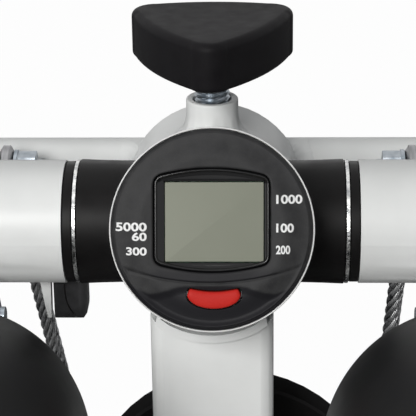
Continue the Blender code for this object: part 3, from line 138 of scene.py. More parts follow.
looks = {
    "whiteEnamel": {"dark": (0.70, 0.71, 0.705), "light": (0.75, 0.76, 0.755), "patch": 45,
                    "roughness": (0.36, 0.44), "coat": 0.1, "coatRoughness": 0.25, "specular": 0.2,
                    "grain": 700, "depth": 0.1},
    "whitePlastic": {"dark": (0.76, 0.76, 0.755), "light": (0.80, 0.80, 0.795), "patch": 50,
                     "roughness": (0.34, 0.42), "specular": 0.4, "grain": 1500, "depth": 0.06},
    "blackNylon": {"dark": (0.0045, 0.0042, 0.0043), "light": (0.0075, 0.007, 0.0072), "patch": 120,
                   "roughness": (0.38, 0.5), "specular": 0.11, "grain": 2600, "depth": 0.14,
                   "speck": (0.004, 0.004, 0.004)},
    "pedalBlack": {"dark": (0.0042, 0.0042, 0.0045), "light": (0.0065, 0.0065, 0.007), "patch": 45,
                   "roughness": (0.4, 0.5), "specular": 0.12, "grain": 2400, "depth": 0.1,
                   "speck": (0.003, 0.003, 0.003)},
    "pickupBlack": {"dark": (0.008, 0.008, 0.0085), "light": (0.034, 0.034, 0.036), "patch": 110,
                    "roughness": (0.26, 0.42), "specular": 0.4, "grain": 2200, "depth": 0.12,
                    "speck": (0.004, 0.004, 0.004)},
    "capRubber": {"dark": (0.009, 0.009, 0.0095), "light": (0.015, 0.015, 0.0155), "patch": 90,
                  "roughness": (0.6, 0.75), "specular": 0.18, "grain": 2200, "depth": 0.2,
                  "speck": (0.006, 0.006, 0.006)},
    "knobBlack": {"dark": (0.0052, 0.0048, 0.0056), "light": (0.008, 0.0074, 0.0084), "patch": 160,
                  "roughness": (0.5, 0.6), "specular": 0.08, "grain": 3400, "depth": 0.3,
                  "speck": (0.006, 0.006, 0.006)},
    "faceBlack": {"dark": (0.022, 0.022, 0.023), "light": (0.036, 0.036, 0.037), "patch": 200,
                  "roughness": (0.5, 0.62), "specular": 0.13, "grain": 4200, "depth": 0.45,
                  "speck": (0.018, 0.018, 0.018),
                  "calm": {"area": "calmArea", "colour": (0.011, 0.0108, 0.0128), "roughness": 0.5}},
    "windowGloss": {"dark": (0.0045, 0.0045, 0.005), "light": (0.0065, 0.0065, 0.007), "patch": 60,
                    "roughness": (0.1, 0.16), "specular": 0.3, "grain": 500, "depth": 0.02},
    "screenGrey": {"dark": (0.222, 0.232, 0.187), "light": (0.238, 0.248, 0.203), "patch": 30,
                   "roughness": (0.5, 0.58), "specular": 0.1, "grain": 4000, "depth": 0.02,
                   "speck": (0.006, 0.006, 0.005)},
    "buttonRed": {"dark": (0.44, 0.018, 0.014), "light": (0.50, 0.024, 0.018), "patch": 120,
                  "roughness": (0.45, 0.52), "specular": 0.08, "grain": 2400, "depth": 0.08,
                  "speck": (0.03, 0.006, 0.006)},
    "boardGreen": {"dark": (0.02, 0.12, 0.05), "light": (0.03, 0.17, 0.07), "patch": 300,
                   "roughness": (0.4, 0.6), "grain": 1500, "depth": 0.2, "speck": (0.2, 0.16, 0.06)},
    "turnedSteel": {"dark": (0.20, 0.20, 0.205), "light": (0.34, 0.34, 0.35), "patch": 120,
                    "roughness": (0.3, 0.45), "metallic": 1.0, "grain": 1400, "depth": 0.2,
                    "stretch": (6, 1, 1)},
    "zincPlate": {"dark": (0.20, 0.235, 0.27), "light": (0.40, 0.43, 0.46), "patch": 260,
                  "roughness": (0.28, 0.45), "metallic": 1.0, "grain": 1800, "depth": 0.25,
                  "speck": (0.05, 0.055, 0.06)},
    "brightSteel": {"dark": (0.34, 0.35, 0.36), "light": (0.86, 0.86, 0.84), "patch": 330,
                    "roughness": (0.12, 0.4), "metallic": 1.0, "grain": 900, "depth": 0.7, "height": 0.3},
    "blackEnamel": {"dark": (0.006, 0.006, 0.006), "light": (0.010, 0.010, 0.010), "patch": 60,
                    "roughness": (0.22, 0.32), "coat": 0.3, "specular": 0.3, "grain": 900, "depth": 0.08},
    "ropeSteel": {"dark": (0.11, 0.11, 0.115), "light": (0.42, 0.425, 0.43), "patch": 420,
                  "roughness": (0.3, 0.5), "metallic": 1.0, "grain": 3000, "depth": 0.2,
                  "speck": (0.08, 0.08, 0.08)},
    "labelWhite": {"dark": (0.70, 0.70, 0.70), "light": (0.8, 0.8, 0.8), "patch": 900,
                   "roughness": (0.5, 0.6), "specular": 0.2, "grain": 3000, "depth": 0.05},
}
finishes = {name: finishOf(name, look) for name, look in looks.items()}
finishOfSlot = {
    "white_enamel": "whiteEnamel", "white_plastic": "whitePlastic", "black_enamel": "blackEnamel",
    "black_nylon": "blackNylon", "black_rubber": "capRubber", "black_bezel": "faceBlack",
    "black_gloss": "windowGloss", "screen": "screenGrey", "red_button": "buttonRed",
    "green_board": "boardGreen", "steel": "turnedSteel", "zinc_plate": "zincPlate",
    "bright_steel": "brightSteel",
}
print("materials ready")


def turnsOf(steps):
    return [math.tau * i / steps for i in range(steps)]


def addObject(name, data):
    holder = bpy.data.objects.new(name, data)
    bpy.context.scene.collection.objects.link(holder)
    return holder


def meshOf(bm, name):
    mesh = bpy.data.meshes.new(name)
    bm.to_mesh(mesh)
    bm.free()
    return mesh


def settled(piece):
    # the piece's mesh with its modifiers worked out
    graph = bpy.context.evaluated_depsgraph_get()
    return bpy.data.meshes.new_from_object(piece.evaluated_get(graph))


def finish(mesh, name, look, smooth=35):
    mesh.shade_smooth()
    mesh.set_sharp_from_angle(angle=math.radians(smooth))
    mesh.materials.clear()
    mesh.materials.append(finishes[look])
    return addObject(name, mesh)


def makePiece(bm, name, look, smooth=35):
    bmesh.ops.remove_doubles(bm, verts=bm.verts, dist=mergeWithin)
    bmesh.ops.recalc_face_normals(bm, faces=bm.faces)
    return finish(meshOf(bm, name), name, look, smooth)


def standIn(nodes):
    if nodes:
        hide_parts(*nodes)
        dressed.update(nodes)


def rides(piece, body, slot, *nodes):
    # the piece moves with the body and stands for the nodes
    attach(piece, body)
    standIn(nodes)
    return piece


def standsFor(piece, node):
    return rides(piece, bodyOf[node], slotOf[node], node)


def goesWith(piece, node):
    # an extra piece on a node that another piece stands for
    return rides(piece, bodyOf[node], slotOf[node])


def bends(piece, ends, bodies, slot, *nodes):
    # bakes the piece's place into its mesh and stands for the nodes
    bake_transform(piece)
    standIn(nodes)
    return piece


def loft(loops, ringClosed=True, tubeClosed=False, capped=False):
    # skins equal loops of points
    bm = bmesh.new()
    rows = [[bm.verts.new(point) for point in loop] for loop in loops]
    pairs = list(zip(rows, rows[1:]))
    if tubeClosed:
        pairs.append((rows[-1], rows[0]))
    count = len(rows[0])
    for low, high in pairs:
        for i in range(count if ringClosed else count - 1):
            j = (i + 1) % count
            bm.faces.new((low[i], low[j], high[j], high[i]))
    if capped:
        bm.faces.new(rows[0])
        bm.faces.new(rows[-1])
    return bm


def easeCorner(start, corner, end, steps):
    # a smooth curve from start to end that leans towards the corner
    shares = [k / steps for k in range(steps + 1)]
    return [tuple(start.lerp(corner, t).lerp(corner.lerp(end, t), t)) for t in shares]


def roundCorners(points, radius, steps=4, closed=False):
    # eases the corners of a flat polyline; a point may carry its own radius as a third value
    count, made = len(points), []
    for i, point in enumerate(points):
        here = Vector(point[:2])
        before = Vector(points[i - 1][:2]) - here
        after = Vector(points[(i + 1) % count][:2]) - here
        size = point[2] if len(point) > 2 else radius
        turn = math.pi - before.angle(after, 0.0) if closed or 0 < i < count - 1 else 0
        if size <= 0 or turn < 0.15:
            made.append(tuple(here))
            continue
        reach = min(size * math.tan(turn / 2), before.length * 0.45, after.length * 0.45)
        start, end = here + before.normalized() * reach, here + after.normalized() * reach
        made += easeCorner(start, here, end, steps)
    return made


def lathe(profile, centre, axis, steps=128, closed=False):
    # revolves (radius, height) points in millimetres about a line
    turns = turnsOf(steps)
    loops = [[(r * mm * math.cos(a), r * mm * math.sin(a), h * mm) for a in turns] for r, h in profile]
    bm = loft(loops, True, closed)
    bm.transform(Matrix.Translation(centre) @ Vector(axis).to_track_quat("Z", "Y").to_matrix().to_4x4())
    return bm


def sweep(path, radius, steps=12, loop=False):
    # round bar along points in metres, closed at its ends unless it is a loop
    count = len(path)
    loops, side = [], None
    for i, point in enumerate(path):
        before = path[(i - 1) % count] if loop or i else path[0]
        after = path[(i + 1) % count] if loop or i < count - 1 else path[-1]
        line = (Vector(after) - Vector(before)).normalized()
        if side is None:
            side = line.orthogonal().normalized()
        side = (side - line * side.dot(line)).normalized()
        other = line.cross(side)
        loops.append([Vector(point) + (side * math.cos(a) + other * math.sin(a)) * radius * mm
                      for a in turnsOf(steps)])
    return loft(loops, True, loop, not loop)


def geometryTree(name, sizes, counts=()):
    # an empty tree with a named input for each size and count
    tree = bpy.data.node_groups.new(name, "GeometryNodeTree")
    tree.interface.new_socket("Geometry", in_out="INPUT", socket_type="NodeSocketGeometry")
    tree.interface.new_socket("Geometry", in_out="OUTPUT", socket_type="NodeSocketGeometry")
    for label in (*sizes, *counts):
        kind = "NodeSocketInt" if label in counts else "NodeSocketFloat"
        tree.interface.new_socket(label, in_out="INPUT", socket_type=kind)
    return tree, put(tree, "NodeGroupInput").outputs


def calc(tree, operation, *values):
    return put(tree, "ShaderNodeMath", enumerate(values), operation=operation).outputs[0]


def sums(tree):
    # the four sums of one tree
    return [functools.partial(calc, tree, name) for name in ("ADD", "SUBTRACT", "MULTIPLY", "DIVIDE")]


def joinXyz(tree, *values):
    return put(tree, "ShaderNodeCombineXYZ", enumerate(values)).outputs[0]


def splitXyz(tree):
    place = put(tree, "GeometryNodeInputPosition").outputs[0]
    return put(tree, "ShaderNodeSeparateXYZ", {0: place}).outputs


def endTree(tree, geometry, look):
    # every tree ends in realised instances and its finish
    real = put(tree, "GeometryNodeRealizeInstances", {0: geometry}).outputs[0]
    coloured = put(tree, "GeometryNodeSetMaterial", {"Geometry": real, "Material": finishes[look]})
    put(tree, "NodeGroupOutput", {0: coloured.outputs[0]})
    return tree


def grow(tree, sizes, base=None):
    # runs a tree with its sizes and gives back a plain mesh
    holder = addObject(f"{tree.name}Holder", base or bpy.data.meshes.new(f"{tree.name}Base"))
    modifier = holder.modifiers.new("Grow", "NODES")
    modifier.node_group = tree
    for item in tree.interface.items_tree:
        if item.item_type == "SOCKET" and item.in_out == "INPUT" and item.name in sizes:
            modifier[item.identifier] = sizes[item.name]
    made = settled(holder)
    holder.modifiers.clear()
    bpy.data.objects.remove(holder)
    return made


def dressNode(node, look, bevel=0.35, smooth=32, reshape=None):
    # a clean copy of a CAD solid: flat triangles joined, edges eased, curves shaded smooth
    bm = bmesh.new()
    bm.from_mesh(frame["nodes"][node].data)
    bmesh.ops.remove_doubles(bm, verts=bm.verts, dist=mergeWithin)
    bmesh.ops.dissolve_limit(bm, angle_limit=math.radians(0.6), verts=bm.verts, edges=bm.edges)
    if reshape:
        reshape(bm)
    name = f"{node}Dressed"
    piece = finish(meshOf(bm, name), name, look, smooth)
    if bevel:
        edge = piece.modifiers.new("Edge", "BEVEL")
        edge.width = bevel * mm
        edge.segments = 2
        edge.limit_method = "ANGLE"
        edge.angle_limit = math.radians(40)
        edge.use_clamp_overlap = True
        edge.harden_normals = True
    return standsFor(piece, node)


def carve(piece, *cutters):
    # takes the cutters out of a piece for good
    for cutter in cutters:
        hole = piece.modifiers.new("Carve", "BOOLEAN")
        hole.operation = "DIFFERENCE"
        hole.solver = "EXACT"
        hole.object = cutter
    mesh = settled(piece)
    piece.modifiers.clear()
    piece.data = mesh
    mesh.set_sharp_from_angle(angle=math.radians(40))
    for cutter in cutters:
        bpy.data.objects.remove(cutter)
    return piece


# Monitor: a tilted round face with a sunk window, a crescent button and a smile-shaped crease
monitor = {
    "x": 1.3, "ahead": -50.0, "rise": 17.6, "tilt": 20.0, "radius": 36.8, "rim": 37.6, "depth": 7.0,
    "windowWidth": 42.8, "windowHeight": 32.2, "windowUp": 3.6, "windowBulge": 3.1, "windowCorner": 3.4,
    "screenWidth": 36.0, "screenHeight": 29.0, "screenX": 0.9, "screenUp": 2.9,
    "buttonWidth": 19.6, "buttonHeight": 10.4, "buttonX": 0.8, "buttonDown": 24.3, "buttonGap": 0.5,
    "creaseDown": 19.3, "creaseBend": 0.0054, "creaseDepth": 0.7, "creaseWidth": 0.38, "dishDepth": 1.1,
    "lip": 0.7, "rimWall": 2.0,
    "spokes": 288, "rings": 120,
}
lobeEdge = [(0, -20.0), (10, -20.0), (12.5, -20.4), (16, -21.6), (20, -22.6), (23, -22.9), (27.5, -21.3),
            (31.5, -17.8), (34, -13.0), (37, -6.0)]
tilt = math.radians(monitor["tilt"])
faceUp = Vector((0, math.sin(tilt), math.cos(tilt)))
faceOut = Vector((0, -math.cos(tilt), math.sin(tilt)))
faceSpot = at(monitor["x"], monitor["ahead"], monitor["rise"])


def onFace(x, y, z):
    return faceSpot + (Vector((x, 0, 0)) + faceUp * y + faceOut * z) * mm


def faceLoop(points, z):
    return [onFace(x, y, z) for x, y in points]


def smoothStep(low, high, value):
    t = min(1.0, max(0.0, (value - low) / (high - low)))
    return t * t * (3 - 2 * t)


def lobeAt(x):
    x = abs(x)
    for (x0, y0), (x1, y1) in zip(lobeEdge, lobeEdge[1:]):
        if x <= x1:
            return y0 + (y1 - y0) * smoothStep(x0, x1, x) * 0.5 + (y1 - y0) * 0.5 * (x - x0) / (x1 - x0)
    return lobeEdge[-1][1]


def calmShare(x, y):
    # 1 in the smooth dish below the lobes, 0 on the grained face, between them above the crease
    band = 0.85 * smoothStep(0.0, 3.5, -13.0 - y) * (1 - smoothStep(20.0, 27.0, abs(x)))
    band *= smoothStep(-0.2, 0.5, y - creaseAt(x))
    return max(band, smoothStep(0.0, 0.9, lobeAt(x) - y))


def creaseAt(x):
    return -monitor["creaseDown"] + monitor["creaseBend"] * (x + 1) ** 2


def faceHeight(x, y):
    radius = math.hypot(x, y)
    height = -1.5 * smoothStep(26.0, 35.6, radius) - 1.9 * smoothStep(35.2, 36.8, radius)
    height += 0.35 * smoothStep(21.0, 27.0, radius) * (1 - smoothStep(27.0, 34.0, radius))
    crease = creaseAt(x)
    dish = monitor["dishDepth"] * smoothStep(-0.4, 3.4, lobeAt(x) - y)
    fade = 1 - smoothStep(34.4, 35.8, radius)
    height -= fade * monitor["creaseDepth"] * math.exp(-((y - crease) / monitor["creaseWidth"]) ** 2)
    height -= 0.25 * smoothStep(0, 0.5, crease - y) * (1 - smoothStep(34.0, 36.0, radius))
    return height - dish * (1 - smoothStep(33.0, 36.0, radius))


def windowOutline(shrink):
    # bowed top and bottom, rounded corners
    half = monitor["windowWidth"] / 2 - shrink
    tall = monitor["windowHeight"] / 2 - shrink
    points = []
    for top in (1, -1):
        for i in range(17):
            t = top * (1 - i / 8)
            corner = monitor["windowCorner"] if abs(t) == 1 else 0
            bow = monitor["windowBulge"] * (1 - t * t)
            points.append((half * t, monitor["windowUp"] + top * (tall + bow), corner))
    return points


def alongOutline(points, centre, angles):
    # where rays from the centre at these angles meet a closed outline
    found = []
    ends = [(x - centre[0], y - centre[1]) for x, y in points]
    for angle in angles:
        dx, dy = math.cos(angle), math.sin(angle)
        best = 0.0
        for (ax, ay), (bx, by) in zip(ends, ends[1:] + ends[:1]):
            ex, ey = bx - ax, by - ay
            cross = dx * ey - dy * ex
            if abs(cross) < 1e-12:
                continue
            reach, share = (ax * ey - ay * ex) / cross, (ax * dy - ay * dx) / cross
            if reach > best and -1e-6 <= share <= 1 + 1e-6:
                best = reach
        found.append((centre[0] + dx * best, centre[1] + dy * best))
    return found


def softOutline(points, radius, steps=6):
    # rounds the marked corners of a closed outline and drops the points that the rounding covers
    eased, marked = [], [point[:2] for point in points if point[2]]
    for i, (x, y, corner) in enumerate(points):
        if not corner:
            if min(math.dist((x, y), other) for other in marked) > radius * 1.02:
                eased.append((x, y))
            continue
        here = Vector((x, y))
        ends = [Vector(points[k % len(points)][:2]) - here for k in (i - 1, i + 1)]
        start, end = (here + away.normalized() * radius for away in ends)
        eased += easeCorner(start, here, end, steps)
    return eased


windowCentre = (0.0, monitor["windowUp"])
spokes = turnsOf(monitor["spokes"])


def windowLoop(shrink):
    corner = max(0.6, monitor["windowCorner"] - 1.2 * shrink)
    return alongOutline(softOutline(windowOutline(shrink), corner), windowCentre, spokes)


def buttonOutline(growth, steps=24):
    half = monitor["buttonWidth"] / 2 + growth
    down, high = monitor["buttonDown"], monitor["buttonHeight"]
    points = []
    for i in range(steps + 1):
        t = 1 - 2 * i / steps
        turn = min(1.0, max(0.0, abs(t) - 0.84) / 0.16)
        top = high * (0.32 - 0.14 * (1 - t * t) - 0.24 * (1 - math.sqrt(1 - turn * turn)))
        points.append((monitor["buttonX"] + half * t, -down + growth + top))
    for i in range(steps + 1):
        t = -math.cos(math.pi * i / steps)
        bow = math.sqrt(max(0.0, 1 - t * t))
        points.append((monitor["buttonX"] + half * t, -down - growth - high * 0.5 * bow + high * 0.08))
    for _ in range(3):  # corner cutting rounds the two ends
        edges = [(a, b) for a, b in zip(points, points[1:] + points[:1]) if math.dist(a, b) > 1e-6]
        points = [tuple(p * near + q * (1 - near) for p, q in zip(a, b))
                  for a, b in edges for near in (0.75, 0.25)]
    return points


def evenly(points, count):
    # resamples a closed outline at equal steps
    ends = [0.0]
    for a, b in zip(points, points[1:] + points[:1]):
        ends.append(ends[-1] + math.dist(a, b))
    made, k = [], 0
    for i in range(count):
        want = ends[-1] * i / count
        while ends[k + 1] < want:
            k += 1
        share = (want - ends[k]) / (ends[k + 1] - ends[k])
        a, b = points[k], points[(k + 1) % len(points)]
        made.append((a[0] + (b[0] - a[0]) * share, a[1] + (b[1] - a[1]) * share))
    return made


def makeFace():
    inner, lip, rings, radius = windowLoop(0), monitor["lip"], monitor["rings"], monitor["radius"]
    circle = [(radius * math.cos(a), radius * math.sin(a)) for a in turnsOf(720)]
    outer = alongOutline(circle, windowCentre, spokes)
    loops = [faceLoop(inner, -2.8)]
    for i in range(5):  # rounded lip round the window
        a = math.radians(22.5 * i)
        loops.append([])
        for (x, y), (ox, oy) in zip(inner, outer):
            away = Vector((ox - x, oy - y)).normalized() * lip * (1 - math.cos(a))
            px, py = x + away.x, y + away.y
            loops[-1].append(onFace(px, py, faceHeight(px, py) - lip * (1 - math.sin(a))))
    for k in range(1, rings + 1):
        loops.append([])
        for (x, y), (ox, oy) in zip(inner, outer):
            start = Vector((x, y)) + Vector((ox - x, oy - y)).normalized() * lip
            spot = start.lerp(Vector((ox, oy)), k / rings)
            loops[-1].append(onFace(spot.x, spot.y, faceHeight(spot.x, spot.y)))
    thin = (radius - monitor["rimWall"]) / radius
    within = [(x * thin, y * thin) for x, y in outer]
    loops += [faceLoop(outer, -monitor["depth"]), faceLoop(within, -monitor["depth"]), faceLoop(within, -5.4),
              faceLoop([(x * 1.03, y * 1.03 - 0.1) for x, y in inner], -4.6)]
    hole = evenly(buttonOutline(monitor["buttonGap"]), 96)
    cutter = loft([faceLoop(hole, -9.0), faceLoop(hole, 3.0)], capped=True)
    piece = makePiece(loft(loops, True, True), "monitorFace", "faceBlack", 50)
    piece = carve(piece, makePiece(cutter, "buttonHole", "faceBlack"))
    area = piece.data.attributes.new("calmArea", "FLOAT", "POINT")
    for i, vert in enumerate(piece.data.vertices):
        spot = vert.co - faceSpot
        area.data[i].value = calmShare(spot.x / mm, spot.dot(faceUp) / mm)
    standsFor(piece, "monitor_bezel")


quarters = [(1, -1), (1, 1), (-1, 1), (-1, -1)]


def makeWindow():
    # glossy surround: a bead along the opening, then a slope down to the screen
    half, tall = monitor["screenWidth"] / 2 + 0.3, monitor["screenHeight"] / 2 + 0.3
    cx, cy = monitor["screenX"], monitor["screenUp"]
    box = [(cx + right * half, cy + up * tall, 0.7) for right, up in quarters]
    screenLoop = alongOutline(softOutline(box, 0.7), windowCentre, spokes)
    bead = [(0.06, -3.0), (0.06, -1.9), (0.3, -1.35), (0.75, -1.0), (1.05, -1.0), (1.3, -1.2), (1.45, -1.6),
            (1.6, -1.75)]
    loops = [faceLoop(windowLoop(shrink), z) for shrink, z in bead]
    last = windowLoop(1.6)
    for share, z in ((0.5, -1.9), (0.93, -2.02), (1.0, -2.15)):
        loops.append([onFace(x + (sx - x) * share, y + (sy - y) * share, z)
                      for (x, y), (sx, sy) in zip(last, screenLoop)])
    loops.append(faceLoop(screenLoop, -3.0))
    standsFor(makePiece(loft(loops, True, True), "windowSurround", "windowGloss", 45), "window_frame")


def makeScreen():
    half, tall = monitor["screenWidth"] / 2, monitor["screenHeight"] / 2
    cx, cy = monitor["screenX"], monitor["screenUp"]
    loops = []
    for shrink, z in ((0, -6.9), (0, -2.5), (0.12, -2.3), (0.35, -2.22)):
        box = [(cx + right * (half - shrink), cy + up * (tall - shrink), 0.5) for right, up in quarters]
        loops.append(faceLoop(softOutline(box, 0.5), z))
    standsFor(makePiece(loft(loops, capped=True), "screenGlass", "screenGrey", 30), "lcd_panel")


def makeButton():
    outline = evenly(buttonOutline(0), 96)
    half = monitor["buttonWidth"] / 2
    down, high, middleX = monitor["buttonDown"], monitor["buttonHeight"], monitor["buttonX"]

    def middle(x):
        t = max(-1.0, min(1.0, (x - middleX) / half))
        return -down + high * (0.32 - 0.14 * (1 - t * t) + 0.08 - 0.5 * math.sqrt(1 - t * t)) / 2

    dome = [(1, -5.8), (1, -0.9), (0.985, -0.35), (0.94, 0.0), (0.86, 0.22), (0.7, 0.42), (0.45, 0.55),
            (0.15, 0.6)]
    loops = []
    for share, z in dome:
        loops.append([])
        for x, y in outline:
            spineX = middleX + (x - middleX) * 0.84
            spine = (spineX, middle(spineX))
            loops[-1].append(onFace(spine[0] + (x - spine[0]) * share, spine[1] + (y - spine[1]) * share, z))
    standsFor(makePiece(loft(loops, capped=True), "resetButtonCap", "buttonRed", 50), "reset_button")


labels = {  # plain numbers beside the screen, with their edges in millimetres on the face
    "upperRight": {"text": "1000", "left": 23.4, "right": 32.9, "low": 9.6, "high": 12.9},
    "middleRight": {"text": "100", "left": 23.4, "right": 29.8, "low": -0.8, "high": 2.5},
    "lowerRight": {"text": "200", "left": 23.3, "right": 28.5, "low": -8.7, "high": -5.5},
    "upperLeft": {"text": "5000", "left": -35.0, "right": -23.6, "low": -0.4, "high": 2.8},
    "middleLeft": {"text": "60", "left": -29.0, "right": -23.6, "low": -3.9, "high": -0.8},
    "lowerLeft": {"text": "300", "left": -31.2, "right": -23.6, "low": -9.2, "high": -6.2},
}


inkLow, inkHigh = -0.05, 0.07


def makeLabels():
    for name, label in labels.items():
        text = bpy.data.curves.new(f"{name}Number", "FONT")
        text.body = label["text"]
        text.offset = 0.03
        text.resolution_u = 6
        text.space_character = 1.0
        holder = addObject(f"{name}Number", text)
        bm = bmesh.new()
        bm.from_mesh(settled(holder))
        bpy.data.objects.remove(holder)
        bmesh.ops.remove_doubles(bm, verts=bm.verts, dist=1e-5)
        xs, ys = [v.co.x for v in bm.verts], [v.co.y for v in bm.verts]
        wide = (label["right"] - label["left"]) / (max(xs) - min(xs))
        tall = (label["high"] - label["low"]) / (max(ys) - min(ys))
        made = bmesh.ops.extrude_face_region(bm, geom=list(bm.faces))["geom"]
        raised = {v for v in made if isinstance(v, bmesh.types.BMVert)}
        for vert in bm.verts:
            x = label["left"] + (vert.co.x - min(xs)) * wide
            y = label["low"] + (vert.co.y - min(ys)) * tall
            vert.co = onFace(x, y, faceHeight(x, y) + (inkHigh if vert in raised else inkLow))
        goesWith(makePiece(bm, f"{name}Number", "labelWhite", 30), "monitor_bezel")


shell = {"backAhead": -27.3, "backRise": 3.0, "backRadius": 30.0, "wall": 2.2, "steps": 160}


def makeHousing():
    # white back shell: a thin rim round the face, then a smooth loft back to the barrel
    turns, rim, wall = turnsOf(shell["steps"]), monitor["rim"], shell["wall"]
    back = at(monitor["x"], shell["backAhead"], shell["backRise"])

    def rimLoop(inset, z):
        return faceLoop([((rim - inset) * math.cos(a), (rim - inset) * math.sin(a)) for a in turns], z)

    def backLoop(radius, ahead=0.0):
        return [back + Vector((radius * math.cos(a), ahead, radius * math.sin(a))) * mm for a in turns]

    edge = [(0.62, -4.6), (0.6, -3.1), (0.5, -2.85), (0.3, -2.75), (0.1, -2.9), (0, -3.3), (0, -6.0),
            (0, -8.5)]
    loops = [rimLoop(inset, z) for inset, z in edge]
    front, rear = rimLoop(0, -10.0), backLoop(shell["backRadius"])
    for k in range(13):
        t = k / 12
        ease = t * 0.7 + 0.3 * smoothStep(0, 1, t)
        loops.append([a.lerp(b, ease) for a, b in zip(front, rear)])
    loops += [backLoop(29.4), backLoop(26.0, -0.2), backLoop(24.0, -2.0)]
    loops += [rimLoop(wall, -10.0), rimLoop(wall, -7.3), rimLoop(edge[0][0], -7.3)]
    standsFor(makePiece(loft(loops, True, True), "monitorShell", "whitePlastic", 40), "monitor_housing")


makeFace()
makeWindow()
makeScreen()
makeButton()
makeLabels()
makeHousing()
print("monitor ready")


# Height knob: a rounded triangle with bowed sides on a threaded spindle
knob = {"bottom": 59.0, "height": 19.0, "reach": 27.3, "corner": 8.0, "bow": 3.4, "edge": 3.2, "boss": 11.0,
        "dish": 0.35, "spindleAhead": 16.0}


def knobOutline():
    points = []
    for corner in range(3):
        middle = -90 + 120 * corner
        a = math.radians(middle)
        cx, cy = knob["reach"] * math.cos(a), knob["reach"] * math.sin(a)
        for i in range(25):
            turn = math.radians(middle - 60 + 120 * i / 24)
            points.append((cx + knob["corner"] * math.cos(turn), cy + knob["corner"] * math.sin(turn)))
        outward = math.radians(middle + 60)
        for i in range(1, 24):
            share = i / 24
            along = (share - 0.5) * knob["reach"] * math.sqrt(3)
            away = knob["reach"] / 2 + knob["corner"] + knob["bow"] * 4 * share * (1 - share)
            points.append((away * math.cos(outward) - along * math.sin(outward),
                           away * math.sin(outward) + along * math.cos(outward)))
    return points


def makeKnob():
    outline, edge, boss, ahead = knobOutline(), knob["edge"], knob["boss"], knob["spindleAhead"]
    low, high = knob["bottom"], knob["bottom"] + knob["height"]

    def ring(shrink, z):
        shares = [(math.hypot(x, y) - shrink) / math.hypot(x, y) for x, y in outline]
        return [at(x * share, ahead + y * share, z) for (x, y), share in zip(outline, shares)]

    # from the spindle's hole round the boss to the underside
    under = [(7.4, low + 9.0), (7.4, low - 3.0), (boss - 0.5, low - 3.0), (boss, low - 2.5),
             (boss, low - 0.6), (boss + 0.6, low), (16.0, low)]
    angles = [math.atan2(y, x) for x, y in outline]
    loops = [[at(r * math.cos(a), ahead + r * math.sin(a), z) for a in angles] for r, z in under]
    loops.append(ring(edge * 0.6, low))
    for i in range(1, 6):
        a = math.radians(18 * i)
        loops.append(ring(edge * 0.6 * (1 - math.sin(a)), low + edge * 0.6 * (1 - math.cos(a))))
    for i in range(9):
        a = math.radians(11.25 * i)
        loops.append(ring(edge * (1 - math.cos(a)), high - edge + edge * math.sin(a)))
    for share in (0.78, 0.6, 0.4, 0.22):  # the top is slightly dished
        dished = high - knob["dish"] * (1 - share)
        loops.append([at(x * share, ahead + y * share, dished) for x, y in outline])
    standsFor(makePiece(loft(loops, capped=True), "knobTriangle", "knobBlack", 60), "knob")


thread = {
    "pitch": 2.0, "depth": 1.1, "radius": 7.0, "low": 21.0, "high": 68.0, "steepness": 2.3, "chamfer": 1.2,
    "around": 48, "perTurn": 8, "shaft": 5.0, "foot": 7.0, "ring": 8.0, "ringTop": -139.7, "ringHeight": 3.0,
}


def threadTree():
    # a grid rolled round the spindle, with its radius following the thread
    tree, given = geometryTree("spindleThread", ("Radius", "Depth", "Pitch", "Length"), ("Around", "Rows"))
    add, subtract, multiply, divide = sums(tree)
    size = {"Size X": 1.0, "Size Y": 1.0, "Vertices X": add(given["Around"], 1), "Vertices Y": given["Rows"]}
    grid = put(tree, "GeometryNodeMeshGrid", size)
    x, y, _ = splitXyz(tree)
    share = add(x, 0.5)
    angle = multiply(share, math.tau)
    height = multiply(add(y, 0.5), given["Length"])
    phase = calc(tree, "FRACT", subtract(divide(height, given["Pitch"]), share))
    slope = multiply(calc(tree, "ABSOLUTE", subtract(phase, 0.5)), thread["steepness"])
    groove = multiply(calc(tree, "MINIMUM", slope, 1.0), given["Depth"])
    ends = calc(tree, "MINIMUM", height, subtract(given["Length"], height))
    chamfer = calc(tree, "MAXIMUM", subtract(thread["chamfer"] * mm, ends), 0.0)
    radius = subtract(subtract(given["Radius"], groove), chamfer)
    wide, deep = (multiply(radius, calc(tree, name, angle)) for name in ("COSINE", "SINE"))
    spots = {"Geometry": grid.outputs[0], "Position": joinXyz(tree, wide, deep, height)}
    return endTree(tree, put(tree, "GeometryNodeSetPosition", spots).outputs[0], "zincPlate")


